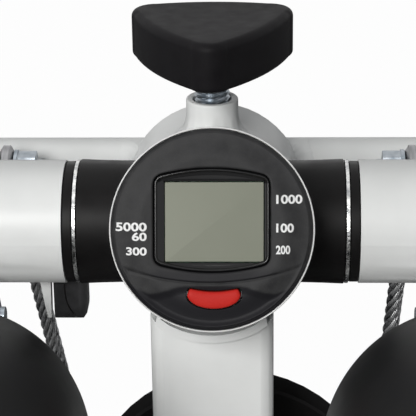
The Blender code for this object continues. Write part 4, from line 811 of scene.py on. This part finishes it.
def makeSpindle(tree):
    t, length = thread, thread["high"] - thread["low"]
    mesh = grow(tree, {"Radius": t["radius"] * mm, "Depth": t["depth"] * mm, "Pitch": t["pitch"] * mm,
                       "Length": length * mm, "Around": t["around"],
                       "Rows": int(length / t["pitch"] * t["perTurn"]) + 1})
    bm = bmesh.new()
    bm.from_mesh(mesh)
    bmesh.ops.remove_doubles(bm, verts=bm.verts, dist=mergeWithin)
    bmesh.ops.holes_fill(bm, edges=[e for e in bm.edges if e.is_boundary], sides=0)
    bm.transform(Matrix.Translation(at(0, knob["spindleAhead"], t["low"])))
    standsFor(makePiece(bm, "spindleThread", "zincPlate", 50), "spindle")
    bottom = (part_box("spindle")[0].z - axleCentre.z) / mm
    ringLow = t["ringTop"] - t["ringHeight"]
    shaft, ring, ringTop, foot = (t[name] for name in ("shaft", "ring", "ringTop", "foot"))
    lower = [(0, t["low"] + 0.5), (5.9, t["low"] + 0.5), (5.9, t["low"]), (shaft, t["low"] - 1.5),
             (shaft, ringTop), (ring, ringTop), (ring, ringLow), (shaft, ringLow), (shaft, bottom + 3.0),
             (foot, bottom + 3.0), (foot, bottom), (0, bottom)]
    shape = lathe(roundCorners(lower, 0.4, 3), at(0, knob["spindleAhead"], 0), (0, 0, 1), 48)
    goesWith(makePiece(shape, "spindleShaft", "zincPlate", 30), "spindle")


# Hub: barrel, collar for the spindle, cross bar with its fillets, and the post
hub = {"radius": 35.9, "drop": 4.0, "barRadius": 12.5, "barAhead": 60.5, "barRise": -0.7, "collarTop": 45.7,
       "collarRadius": 10.2, "collarHole": 7.5, "holeLow": 26.0, "flare": 9.0, "flareHeight": 10.0,
       "flareRipple": 0.45, "filletAlong": 9.0, "filletOut": 7.0}
# how deep, between which places ahead, and between which angles below the level, in mm and degrees
barrelDraw = {"deep": 8.4, "from": -27.0, "to": -2.0, "flankFrom": -24.0, "flankTo": 36.0, "postFrom": 43.0,
              "postTo": 54.0, "cutEvery": 2, "core": 20.0}


def barrelRise(x):
    return -hub["drop"] + math.sqrt(max(0.0, hub["radius"] ** 2 - x * x))


def narrowBarrel(bm):
    # draws the lower flanks in towards the front, where the photograph shows nothing beside the monitor
    draw = barrelDraw
    for ahead in range(int(draw["from"]) + 1, 0, draw["cutEvery"]):
        cut = bm.verts[:] + bm.edges[:] + bm.faces[:]
        bmesh.ops.bisect_plane(bm, geom=cut, dist=1e-7, plane_co=at(0, ahead, 0), plane_no=(0, 1, 0))
    middle = at(0, 0, -hub["drop"])
    for vert in bm.verts:
        away = vert.co - middle
        angle = math.degrees(math.atan2(-away.z, abs(away.x)))
        flank = smoothStep(draw["flankFrom"], draw["flankTo"], angle)
        inward = draw["deep"] * flank * (1 - smoothStep(draw["postFrom"], draw["postTo"], angle))
        inward *= smoothStep(-draw["to"], -draw["from"], -away.y / mm)
        flat = Vector((away.x, 0, away.z))
        if flat.length > draw["core"] * mm:
            vert.co -= flat.normalized() * inward * mm


def makeCollar():
    # the foot of the collar follows the barrel, with a smooth welded flare
    def loop(radius, rise, ripple=0.0):
        points = []
        for a in turnsOf(128):
            r = radius + ripple * (math.sin(7 * a + 0.6) + 0.6 * math.sin(17 * a + 2.1))
            points.append(at(r * math.cos(a), knob["spindleAhead"] + r * math.sin(a), rise(r * math.cos(a))))
        return points

    top, radius, hole, low = hub["collarTop"], hub["collarRadius"], hub["collarHole"], hub["holeLow"]
    loops = [loop(hole, lambda x: low)]
    for r, z in roundCorners([(hole, low), (hole, top), (radius, top), (radius, 38.0)], 0.9, 5)[1:-1]:
        loops.append(loop(r, lambda x, z=z: z))
    for k in range(17):
        t = k / 16
        over = hub["flareHeight"] * (1 - t) ** 2 - 0.05
        spread = radius + hub["flare"] * t * t
        loops.append(loop(spread, lambda x, over=over: barrelRise(x) + over, hub["flareRipple"] * t))
    for k in range(2):
        spread = radius + hub["flare"] + 0.4 * k
        loops.append(loop(spread, lambda x, k=k: barrelRise(x) - 0.6 - 1.5 * k, hub["flareRipple"]))
    standsFor(makePiece(loft(loops, True, True), "spindleCollarFlare", "whiteEnamel", 50), "spindle_collar")


def makeBarFillets():
    # painted weld fillets between the barrel and the cross bar, on the user's side
    deep, wide = hub["filletAlong"], hub["filletOut"]
    for side, sign in sides.items():
        loops = []
        for i in range(41):
            a = math.radians(92 + 172 * i / 40)
            ahead = hub["barAhead"] + hub["barRadius"] * math.cos(a)
            rise = hub["barRise"] + hub["barRadius"] * math.sin(a)
            x = math.sqrt(max(0.0, hub["radius"] ** 2 - (rise + hub["drop"]) ** 2))
            swell = 1 + 0.05 * math.sin(i * 1.7) + 0.04 * math.sin(i * 3.1)
            corner = Vector((x - 0.4, ahead - 0.2))
            ends = corner + Vector((0.2, -deep * swell)), corner + Vector((wide * swell, 0.15))
            loop = easeCorner(ends[0], corner + Vector((0.9, -0.9)), ends[1], 8)
            loop += [corner + Vector(away) for away in ((wide * 0.9, 1.2), (-1.5, 1.5), (-1.6, -deep * 0.9))]
            outward = Vector((0, math.cos(a), math.sin(a)))
            loops.append([at(sign * p[0], p[1], rise) + outward * 0.25 * mm for p in loop])
        fillet = makePiece(loft(loops, capped=True), f"barFillet{side.title()}", "whiteEnamel", 60)
        goesWith(fillet, "cross_bar")


def weldTree():
    # overlapping flattened drops along a seam, as a weld leaves them
    tree, given = geometryTree("weldBead", ("Radius", "Step"))
    seam = put(tree, "GeometryNodeMeshToCurve", {"Mesh": given["Geometry"]}).outputs[0]
    spaced = put(tree, "GeometryNodeResampleCurve", {"Curve": seam, "Length": given["Step"]}, mode="LENGTH")
    tangent = put(tree, "GeometryNodeInputTangent").outputs[0]
    turn = put(tree, "FunctionNodeAlignRotationToVector", {"Vector": tangent}, axis="Z")
    drop = put(tree, "GeometryNodeMeshUVSphere", {"Segments": 10, "Rings": 6, "Radius": given["Radius"]})
    size = put(tree, "FunctionNodeRandomValue", {2: 0.86, 3: 1.1, "Seed": 7}, data_type="FLOAT")
    entries = {"Points": spaced.outputs[0], "Instance": drop.outputs[0], "Rotation": turn.outputs[0],
               "Scale": size.outputs[1]}
    return endTree(tree, put(tree, "GeometryNodeInstanceOnPoints", entries).outputs[0], "whiteEnamel")


def lineMesh(name, points, closed=False):
    mesh = bpy.data.meshes.new(name)
    last = len(points) - 1
    edges = [(i, i + 1) for i in range(last)] + [(last, 0)] * closed
    mesh.from_pydata([tuple(p) for p in points], edges, [])
    return mesh


weldAt = {  # the places of the seams, in millimetres from the axle
    "post": 24.0, "spineTall": 14.0, "tube": 19.3, "level": -206.8, "tubeBehind": 256.0, "sleeve": 24.3,
    "arm": (-12.0, -10.0), "armFall": 66.1, "armRun": 108.0, "armHalf": 17.0, "beside": 100.0, "wide": 10.2,
    "proud": 0.2, "step": 1.3,
}


def armSeam():
    # the angles between which the arm's box leaves the sleeve
    slope = math.atan2(weldAt["armFall"], weldAt["armRun"])
    middle, sleeve = Vector(weldAt["arm"]), weldAt["sleeve"]
    along = Vector((-math.cos(slope), -math.sin(slope)))
    ends = []
    for sign in (-1, 1):
        start = middle + Vector((-along.y, along.x)) * weldAt["armHalf"] * sign
        b = start.dot(along)
        spot = start + along * (-b + math.sqrt(max(0.0, b * b - start.dot(start) + sleeve ** 2)))
        ends.append(math.atan2(spot.y, spot.x) % math.tau)
    return [ends[0] + (ends[1] - ends[0]) * i / 10 for i in range(11)]


def makeWelds(tree):
    # each seam has its node and its lines: points, whether it closes, and the bead's radius
    post, tall, tube, level = (weldAt[name] for name in ("post", "spineTall", "tube", "level"))
    behind, sleeve, proud = weldAt["tubeBehind"], weldAt["sleeve"], weldAt["proud"]
    across = [-post + 4 + (2 * post - 8) * i / 20 for i in range(21)]
    turns = [math.radians(20 + 320 * i / 24 + 90) for i in range(25)]
    postTop, postFoot = [], []
    for face in (-1, 1):  # the front tube passes through the post's foot
        drop = [-hub["drop"] - math.sqrt(hub["radius"] ** 2 - x * x) for x in across]
        postTop.append(([at(x, face * (post + proud), z) for x, z in zip(across, drop)], False, 0.8))
        ring = [at(face * (post + proud), tube * math.cos(a), level + tube * math.sin(a)) for a in turns]
        postFoot.append((ring, False, 0.9))
    box = quarters[-1:] + quarters[:-1]
    spineEnds = [([at(x * post, -post - 0.3, level + z * tall) for x, z in box], True, 0.9)]
    reach = math.sqrt(tube ** 2 - tall ** 2)
    spineEnds.append(([at(x, reach - behind, level + tall) for x in (post, -post)], False, 0.9))
    for sign in (-1, 1):
        rises = range(-12, 13, 3)
        line = [at(sign * (post + 0.1), math.sqrt(tube ** 2 - z * z) - behind, level + z) for z in rises]
        spineEnds.append((line, False, 0.9))
    seams = {"PostTop": ("post", postTop), "PostFoot": ("post", postFoot),
             "SpineEnds": ("base_spine", spineEnds)}
    arc = armSeam()
    for side, sign in sides.items():
        loop = []
        for wide, angles in ((-weldAt["wide"], arc), (weldAt["wide"], arc[::-1])):
            x = sign * weldAt["beside"] + wide
            loop += [at(x, sleeve * math.cos(a), sleeve * math.sin(a)) for a in angles]
        seams[f"Arm{side.title()}"] = (f"pedal_arm_{side}", [(loop, True, 1.0)])
    for name, (node, lines) in seams.items():
        bm = bmesh.new()
        for points, closed, radius in lines:
            sizes = {"Radius": radius * mm, "Step": weldAt["step"] * mm}
            bm.from_mesh(grow(tree, sizes, lineMesh("seam", points, closed)))
        goesWith(finish(meshOf(bm, f"weld{name}"), f"weld{name}", "whiteEnamel", 70), node)


# Wire rope: six strands of six wires round a core, over the sheave
rope = {"radius": 3.5, "strandLay": 27.0, "wireLay": 15.0, "line": 60.5, "sheaveX": 6.0, "sheaveDrop": 158.0,
        "plane": 48.0, "left": 85.0, "right": 80.5, "eyeAhead": 36.0, "eyeRise": 8.0, "eyeRadius": 7.3,
        "ferrule": 16.0, "gap": 0.3, "split": 0.55, "step": 1.5, "strands": 6, "wires": 7}


def ropeTree():
    sizes = "Length", "Start", "Rope Radius", "Strand Lay", "Wire Lay"
    tree, given = geometryTree("wireRope", sizes, ("Steps",))
    add, subtract, multiply, divide = sums(tree)
    line = put(tree, "GeometryNodeCurvePrimitiveLine", {"End": joinXyz(tree, 0.0, 0.0, given["Length"])})
    steps = put(tree, "GeometryNodeResampleCurve", {"Curve": line.outputs[0], "Count": given["Steps"]})
    slots = put(tree, "GeometryNodeMeshLine", {"Count": rope["strands"] * rope["wires"], "Offset": (0, 0, 0)})
    entries = {"Points": slots.outputs[0], "Instance": steps.outputs[0]}
    wires = put(tree, "GeometryNodeInstanceOnPoints", entries).outputs[0]
    loose = put(tree, "GeometryNodeRealizeInstances", {0: wires}).outputs[0]
    index = put(tree, "GeometryNodeInputIndex").outputs[0]
    height = splitXyz(tree)[2]
    along = add(height, given["Start"])
    wire = calc(tree, "FLOOR", divide(add(index, 0.5), given["Steps"]))
    strand = calc(tree, "FLOOR", divide(add(wire, 0.5), rope["wires"]))
    inStrand = subtract(wire, multiply(strand, rope["wires"]))
    outer = calc(tree, "LESS_THAN", inStrand, 5.5)  # the seventh wire is the strand's core
    strandLaid = multiply(divide(along, given["Strand Lay"]), math.tau)
    wireLaid = multiply(divide(along, given["Wire Lay"]), math.tau)
    strandTurn = add(multiply(strand, math.tau / 6), strandLaid)
    wireTurn = subtract(multiply(inStrand, math.tau / 6), wireLaid)
    both = add(strandTurn, wireTurn)
    wide = multiply(given["Rope Radius"], 2 / 3)
    small = multiply(outer, multiply(given["Rope Radius"], 0.2))
    x, y = (add(multiply(wide, calc(tree, name, strandTurn)), multiply(small, calc(tree, name, both)))
            for name in ("COSINE", "SINE"))
    entries = {"Geometry": loose, "Position": joinXyz(tree, x, y, height)}
    twist = put(tree, "GeometryNodeSetPosition", entries).outputs[0]
    entries = {"Resolution": 6, "Radius": multiply(given["Rope Radius"], 0.128)}
    section = put(tree, "GeometryNodeCurvePrimitiveCircle", entries).outputs[0]
    skin = put(tree, "GeometryNodeCurveToMesh", {"Curve": twist, "Profile Curve": section, "Fill Caps": True})
    return endTree(tree, skin.outputs[0], "ropeSteel")


def ropePiece(tree, name, start, length, placeAt):
    # grows a straight rope, then lays it along the path that placeAt gives
    mesh = grow(tree, {"Length": length * mm, "Start": start * mm, "Steps": int(length / rope["step"]) + 2,
                       "Rope Radius": rope["radius"] * mm, "Strand Lay": rope["strandLay"] * mm,
                       "Wire Lay": rope["wireLay"] * mm})
    for vert in mesh.vertices:
        point, line = placeAt(vert.co.z / mm)
        front = Vector((0, -1, 0))
        front = (front - line * front.dot(line)).normalized()
        vert.co = point + front * vert.co.x + line.cross(front) * vert.co.y
    return finish(mesh, name, "ropeSteel", 60)


def makeRopes():
    # each run is two pieces, cut at a share of its length
    tree, touchAngle = ropeTree(), {}
    centre = at(rope["sheaveX"], rope["plane"], -rope["sheaveDrop"])
    for side, sign in sides.items():
        top = at(sign * rope[side], rope["eyeAhead"], rope["eyeRise"])
        away = Vector((sign * rope[side] - rope["sheaveX"], rope["eyeRise"] + rope["sheaveDrop"]))
        angle = math.atan2(away.y, away.x) - sign * math.acos(rope["line"] / away.length)
        touchAngle[side] = angle
        touch = centre + Vector((math.cos(angle), 0, math.sin(angle))) * rope["line"] * mm
        line = (touch - top).normalized()
        first = rope["eyeRadius"] + rope["ferrule"] + rope["gap"]
        length = (touch - top).length / mm - first
        half = length * rope["split"]
        begin = top + line * first * mm
        middle = begin + line * half * mm

        def upper(z, begin=begin, line=line):
            return begin + line * z * mm, line

        def lower(z, begin=begin, line=line, half=half):
            return begin + line * (half + z) * mm, line

        run, slot = f"rope_run_{side}", slotOf[f"rope_run_{side}"]
        piece = ropePiece(tree, f"ropeUpper{side.title()}", 0.0, half, upper)
        bends(piece, (begin, middle), (f"arm_{side}", "frame"), slot)
        piece = ropePiece(tree, f"ropeLower{side.title()}", half, length - half, lower)
        bends(piece, (middle, touch), ("frame", "slider"), slot, run)
    first, last = touchAngle["right"], touchAngle["left"] - math.tau
    span = (first - last) * rope["line"]

    def roundSheave(z):
        a = first + (last - first) * z / span
        spot = centre + Vector((math.cos(a), 0, math.sin(a))) * rope["line"] * mm
        return spot, Vector((math.sin(a), 0, -math.cos(a)))

    standsFor(ropePiece(tree, "ropeWrap", 0.0, span, roundSheave), "rope_wrap")


# Pedals: a smooth domed toe hood with a rolled lip, over a footplate with cross ribs
pedal = {"x": 96.5, "half": 58.0, "noseBehind": 112.0, "noseLength": 85.0, "hoodRise": 47.0,
         "hoodLevel": 45.0, "wall": 4.0, "lip": 0.8, "end": 297.0, "thickness": 14.0, "bottom": -56.0,
         "mouth": 160.0, "heelHalf": 53.0, "inset": 6.0, "treadDepth": 3.0, "ribPitch": 9.0, "ribWidth": 3.6,
         "ribHeight": 2.0, "corner": 30.0, "edge": 3.0, "armBeside": 100.0, "slotReach": 15.5,
         "slotBehind": 117.5, "mouthFoot": (-4.0, -4.0), "mouthBrow": (26.0, 65.0)}


def hoodLoops(sign, shrink, slices=72, steps=96):
    # half rings over the toe, from the mouth to the tip, on an ellipsoid
    a = pedal["half"] - pedal["lip"] - shrink
    b = pedal["noseLength"] - pedal["lip"] - shrink
    c = pedal["hoodRise"] - shrink
    base, level = -pedal["noseBehind"], -pedal["hoodLevel"]
    # the mouth's plane leans forward from its foot to its brow
    (footAhead, footRise), (browAhead, browRise) = pedal["mouthFoot"], pedal["mouthBrow"]
    y0, z0 = (footAhead - pedal["mouth"] - base) / b, footRise / c
    y1, z1 = (browAhead - pedal["mouth"] - base) / b, browRise / c
    lean = (y1 - y0) / (z1 - z0)
    start = y0 - lean * z0
    loops = []
    for i in range(slices + 1):
        turn = math.asin(start) + (math.pi / 2 - math.asin(start)) * i / slices
        foot = math.sin(turn)
        slant = lean * (1 - i / slices)
        norm = 1 + slant * slant
        radius = math.sqrt(max(1e-9, 1 - foot * foot / norm))
        middle = Vector((0, foot / norm, -slant * foot / norm))
        over = Vector((0, slant, 1)) / math.sqrt(norm)
        low = math.asin(max(-1.0, min(1.0, slant * foot / norm / (radius / math.sqrt(norm)))))
        loop = []
        for k in range(steps + 1):
            phi = low + (math.pi - 2 * low) * k / steps
            spot = middle + Vector((math.cos(phi), 0, 0)) * radius + over * math.sin(phi) * radius
            loop.append(at(sign * pedal["x"] + spot.x * a, base + spot.y * b, level + spot.z * c))
        loops.append(loop)
    return loops


def makeHood(side, sign):
    outer, inner = hoodLoops(sign, 0.0), hoodLoops(sign, pedal["wall"])
    bm = loft([out + into[::-1] for out, into in zip(outer, inner)])
    bm.verts.ensure_lookup_table()
    count = len(outer[0])
    for i in range(count - 1):  # the lip across the mouth
        j = 2 * count - 1 - i
        bm.faces.new([bm.verts[k] for k in (i, i + 1, j - 1, j)])
    hood = carve(makePiece(bm, f"toeHood{side.title()}", "pedalBlack", 50), *armSlot(sign))
    lip = [a.lerp(b, 0.5) for a, b in zip(outer[0], inner[0])]
    bead = makePiece(sweep(lip, pedal["wall"] * 0.62, 14), f"hoodLip{side.title()}", "pedalBlack", 50)
    for piece in (hood, bead):
        rides(piece, f"arm_{side}", slotOf[f"pedal_{side}"])


def plateOutline(shrink, steps=64):
    half, heel, nose = (pedal[name] - shrink for name in ("half", "heelHalf", "noseLength"))
    points = []
    for i in range(steps + 1):
        a = math.pi * i / steps
        points.append((half * math.cos(a), -pedal["noseBehind"] + nose * math.sin(a)))
    corner, end = pedal["corner"] - shrink, -pedal["end"] + shrink
    for first, x in ((180, -heel + corner), (270, heel - corner)):
        for i in range(17):
            a = math.radians(first + 90 * i / 16)
            points.append((x + corner * math.cos(a), end + corner + corner * math.sin(a)))
    return points


def makeFootplate(side, sign):
    # rounded rim, sunk tread behind the hood, and a closed nose under it
    x, bottom, edge, inset = sign * pedal["x"], pedal["bottom"], pedal["edge"], pedal["inset"]
    top = bottom + pedal["thickness"]
    tread = top - pedal["treadDepth"]
    rims = [(12.0, bottom + 3.0), (edge, bottom), (edge * 0.45, bottom + 0.5), (0.25, bottom + 1.6),
            (0, bottom + edge)]
    for i in range(7):
        a = math.radians(15 * i)
        rims.append((edge * (1 - math.cos(a)), top - edge + edge * math.sin(a)))
    rims += [(inset - 0.7, top), (inset - 0.2, top - 0.25), (inset, top - 0.8), (inset + 0.3, tread + 0.5),
             (inset + 0.9, tread), (inset + 14, tread)]
    loops = [[at(x + px, py, z) for px, py in evenly(plateOutline(shrink), 240)] for shrink, z in rims]
    return makePiece(loft(loops, capped=True), f"footplate{side.title()}", "pedalBlack", 40)


def armSlot(sign):
    # the room that the arm's bracket and its bolt need in the front of the hood
    beside, reach, behind = sign * pedal["armBeside"], pedal["slotReach"], pedal["slotBehind"]
    corners = [(beside - reach, -behind), (beside + reach, -behind), (beside + reach, 0), (beside - reach, 0)]
    box = loft([[at(x, y, z) for x, y in corners] for z in (-61.0, 4.0)], capped=True)
    bay = lathe([(0, 57), (12, 57), (12, 0), (0, 0)], at(beside - reach - 13, -45, -20), (1, 0, 0), 64)
    return makePiece(box, "armSlot", "pedalBlack"), makePiece(bay, "boltBay", "pedalBlack")


def ribTree():
    tree, given = geometryTree("treadRibs", ("Rib Width", "Rib Height"))
    line = put(tree, "GeometryNodeCurvePrimitiveLine", {"Start": (-1, 0, 0), "End": (1, 0, 0)}).outputs[0]
    entries = {"Width": calc(tree, "MULTIPLY", given["Rib Height"], 2), "Height": given["Rib Width"]}
    section = put(tree, "GeometryNodeCurvePrimitiveQuadrilateral", entries).outputs[0]
    entries = {"Count": 3, "Curve": section, "Radius": calc(tree, "MULTIPLY", given["Rib Width"], 0.3)}
    ease = put(tree, "GeometryNodeFilletCurve", entries, mode="POLY").outputs[0]
    bar = put(tree, "GeometryNodeCurveToMesh", {"Curve": line, "Profile Curve": ease, "Fill Caps": True})
    half = put(tree, "GeometryNodeInputNamedAttribute", {"Name": "halfLength"}).outputs[0]
    size = joinXyz(tree, half, 1.0, 1.0)
    entries = {"Points": given["Geometry"], "Instance": bar.outputs[0], "Scale": size}
    return endTree(tree, put(tree, "GeometryNodeInstanceOnPoints", entries).outputs[0], "pedalBlack")


def makeRibs(tree, side, sign):
    first, corner, rib = pedal["mouth"] + 8, pedal["corner"], pedal["ribWidth"]
    top = pedal["bottom"] + pedal["thickness"] - pedal["treadDepth"]
    spots, halves = [], []
    for i in range(int((pedal["end"] - pedal["inset"] - first - 8) / pedal["ribPitch"])):
        back = first + i * pedal["ribPitch"]
        half = pedal["heelHalf"] - pedal["inset"] - 4
        past = back + rib - (pedal["end"] - corner)
        if past > 0:
            half -= corner - math.sqrt(corner ** 2 - past ** 2) + 2
        spots.append(at(sign * pedal["x"], -back - rib / 2, top))
        halves.append(half * mm)
    base = bpy.data.meshes.new("ribSpots")
    base.from_pydata([tuple(s) for s in spots], [], [])
    base.attributes.new("halfLength", "FLOAT", "POINT").data.foreach_set("value", halves)
    mesh = grow(tree, {"Rib Width": rib * mm, "Rib Height": pedal["ribHeight"] * mm}, base)
    rides(finish(mesh, f"treadRibs{side.title()}", "pedalBlack", 35), f"arm_{side}", slotOf[f"pedal_{side}"])


def makePedals():
    ribs = ribTree()
    for side, sign in sides.items():
        makeHood(side, sign)
        standsFor(carve(makeFootplate(side, sign), *armSlot(sign)), f"pedal_{side}")
        makeRibs(ribs, side, sign)
        print(side, "pedal ready")


# Counter pickup: a small moulded block with a rounded outer side, and a thin bead in a darker finish down its
# face that is painted shade where two rounded parts of the face meet
pickup = {"inner": -62.8, "outer": -50.2, "top": -22.0, "low": -39.15, "front": -8.0, "back": 8.0}


def makePickup():
    width = pickup["outer"] - pickup["inner"]
    corners = [(pickup["front"], pickup["top"], 0), (pickup["front"], pickup["low"], 2.6),
               (pickup["back"], pickup["low"], 2.6), (pickup["back"], pickup["top"], 0)]
    middle = (pickup["top"] + pickup["low"]) / 2
    loops = []
    # how far across, and how much the section draws in there, or swells where below zero
    for across, draw in ((0.0, 0), (0.35, -0.5), (1.1, -1.0), (width * 0.55, -1.15), (width - 3.0, -0.9),
                         (width - 1.2, -0.1), (width, 1.8)):
        inset, swell = 0.8 * max(0.0, draw), 1 + 0.012 * max(0.0, -draw)
        loops.append([at(pickup["inner"] + across, math.copysign(abs(y) - inset, y) * swell,
                         z + inset if z < middle else z) for y, z in roundCorners(corners, 2.6, 5, True)])
    standsFor(makePiece(loft(loops, capped=True), "pickupBlock", "pickupBlack", 50), "pickup")
    # painted shade: a thin dark bead laid along the shaded crease between the face's two rounded parts
    seam = []
    for i in range(17):
        t = i / 16
        spot = (pickup["inner"] + 4.4 + 3.2 * t ** 3, pickup["front"] - 0.15, pickup["top"] - 1.5 - 13.0 * t)
        seam.append(at(*spot))
    goesWith(makePiece(sweep(seam, 0.32, 8), "pickupCreaseShade", "blackNylon", 60), "pickup")


makeKnob()
makeSpindle(threadTree())
makeCollar()
makeBarFillets()
makeWelds(weldTree())
print("hub ready")
makeRopes()
print("ropes ready")
makePedals()
makePickup()

dressNode("hub_barrel", "whiteEnamel", 0.4, 40, narrowBarrel)
bevelOf = {"sheave": 0.5, "cross_bar": 0.2}
for node in sorted(frame["nodes"]):
    if node not in dressed:
        dressNode(node, finishOfSlot[slotOf[node]], bevelOf.get(node, 0.3))
print("other pieces dressed")


roomLook = {"floorSize": 6.0, "floorLevel": -0.0004, "floorColour": 0.35, "floorRoughness": 0.9, "white": 1.0,
            "shadowShare": 0.02, "worldLight": 0.15}


def makeSky(look):
    # white to the camera and in reflections, dim as a light
    world = bpy.data.worlds.new("paleRoom")
    bpy.context.scene.world = world
    world.use_nodes = True
    tree = world.node_tree
    tree.nodes.clear()
    path = put(tree, "ShaderNodeLightPath").outputs
    seen = calc(tree, "MAXIMUM", path["Is Camera Ray"], path["Is Transmission Ray"])
    seen = calc(tree, "MAXIMUM", seen, path["Is Glossy Ray"])
    entries = {"Color": (0.95, 0.98, 1.0, 1), "Strength": look["worldLight"]}
    ambient = put(tree, "ShaderNodeBackground", entries)
    white = put(tree, "ShaderNodeBackground", {"Color": (1, 1, 1, 1), "Strength": look["white"]})
    mix = put(tree, "ShaderNodeMixShader", {0: seen, 1: ambient.outputs[0], 2: white.outputs[0]})
    put(tree, "ShaderNodeOutputWorld", {0: mix.outputs[0]})


def makeFloor(look):
    # glows white to the camera, apart from the small share that takes the shadow
    half = look["floorSize"] / 2
    bm = bmesh.new()
    corners = [(-half, -half), (half, -half), (half, half), (-half, half)]
    bm.faces.new([bm.verts.new((x, y, look["floorLevel"])) for x, y in corners])
    floor = addObject("floor", meshOf(bm, "floor"))
    material = bpy.data.materials.new("paleFloor")
    material.use_nodes = True
    tree = material.node_tree
    shader = tree.nodes["Principled BSDF"]
    shader.inputs["Base Color"].default_value = (look["floorColour"],) * 3 + (1,)
    shader.inputs["Roughness"].default_value = look["floorRoughness"]
    glow = put(tree, "ShaderNodeEmission", {"Color": (1, 1, 1, 1), "Strength": look["white"]})
    camera = put(tree, "ShaderNodeLightPath").outputs["Is Camera Ray"]
    share = calc(tree, "MULTIPLY", camera, 1 - look["shadowShare"])
    mix = put(tree, "ShaderNodeMixShader", {0: share, 1: shader.outputs[0], 2: glow.outputs[0]})
    tree.links.new(mix.outputs[0], tree.nodes["Material Output"].inputs["Surface"])
    floor.data.materials.append(material)


lamps = {  # place and aim in metres from the axle, size in metres, power in watts
    "keyLamp": {"place": (-0.45, -1.37, 0.70), "size": 0.6, "power": 23, "colour": (1.0, 0.995, 0.98)},
    "sideLamp": {"place": (-1.4, -0.8, 0.6), "size": 0.8, "power": 1.5, "colour": (0.97, 0.98, 1.0)},
    "topLamp": {"place": (-0.6, 0.4, 1.7), "size": 1.0, "power": 2.5, "colour": (1.0, 1.0, 1.0)},
}


def makeLamps(settings):
    for name, lamp in settings.items():
        light = bpy.data.lights.new(name, "AREA")
        light.shape = "SQUARE"
        light.size = lamp["size"]
        light.energy = lamp["power"]
        light.color = lamp["colour"]
        holder = addObject(name, light)
        holder.location = axleCentre + Vector(lamp["place"])
        holder.rotation_euler = (-Vector(lamp["place"])).to_track_quat("-Z", "Y").to_euler()


# The photograph is a close crop, so the lens is long; side and turn put the axle at (212, 221)
cameraView = {"distance": 702.0, "elevation": 23.0, "side": 20.6, "pitch": 22.58, "turn": 1.82, "pixels": 416,
              "focalPixels": 1790, "sensor": 36.0}


def makeCamera(view):
    camera = bpy.data.cameras.new("photoCamera")
    camera.sensor_width = view["sensor"]
    camera.lens = view["focalPixels"] / view["pixels"] * view["sensor"]
    camera.clip_start = 0.05
    holder = addObject("photoCamera", camera)
    rise = math.radians(view["elevation"])
    holder.location = at(view["side"], -view["distance"] * math.cos(rise), view["distance"] * math.sin(rise))
    lean = Matrix.Rotation(math.radians(90 - view["pitch"]), 3, "X")
    turn = Matrix.Rotation(math.radians(view["turn"]), 3, "Y")
    holder.rotation_euler = (lean @ turn).to_euler()
    bpy.context.scene.camera = holder


makeSky(roomLook)
makeFloor(roomLook)
makeLamps(lamps)
makeCamera(cameraView)
bpy.context.scene.view_settings.view_transform = "Standard"
print("room, lamps and camera ready")
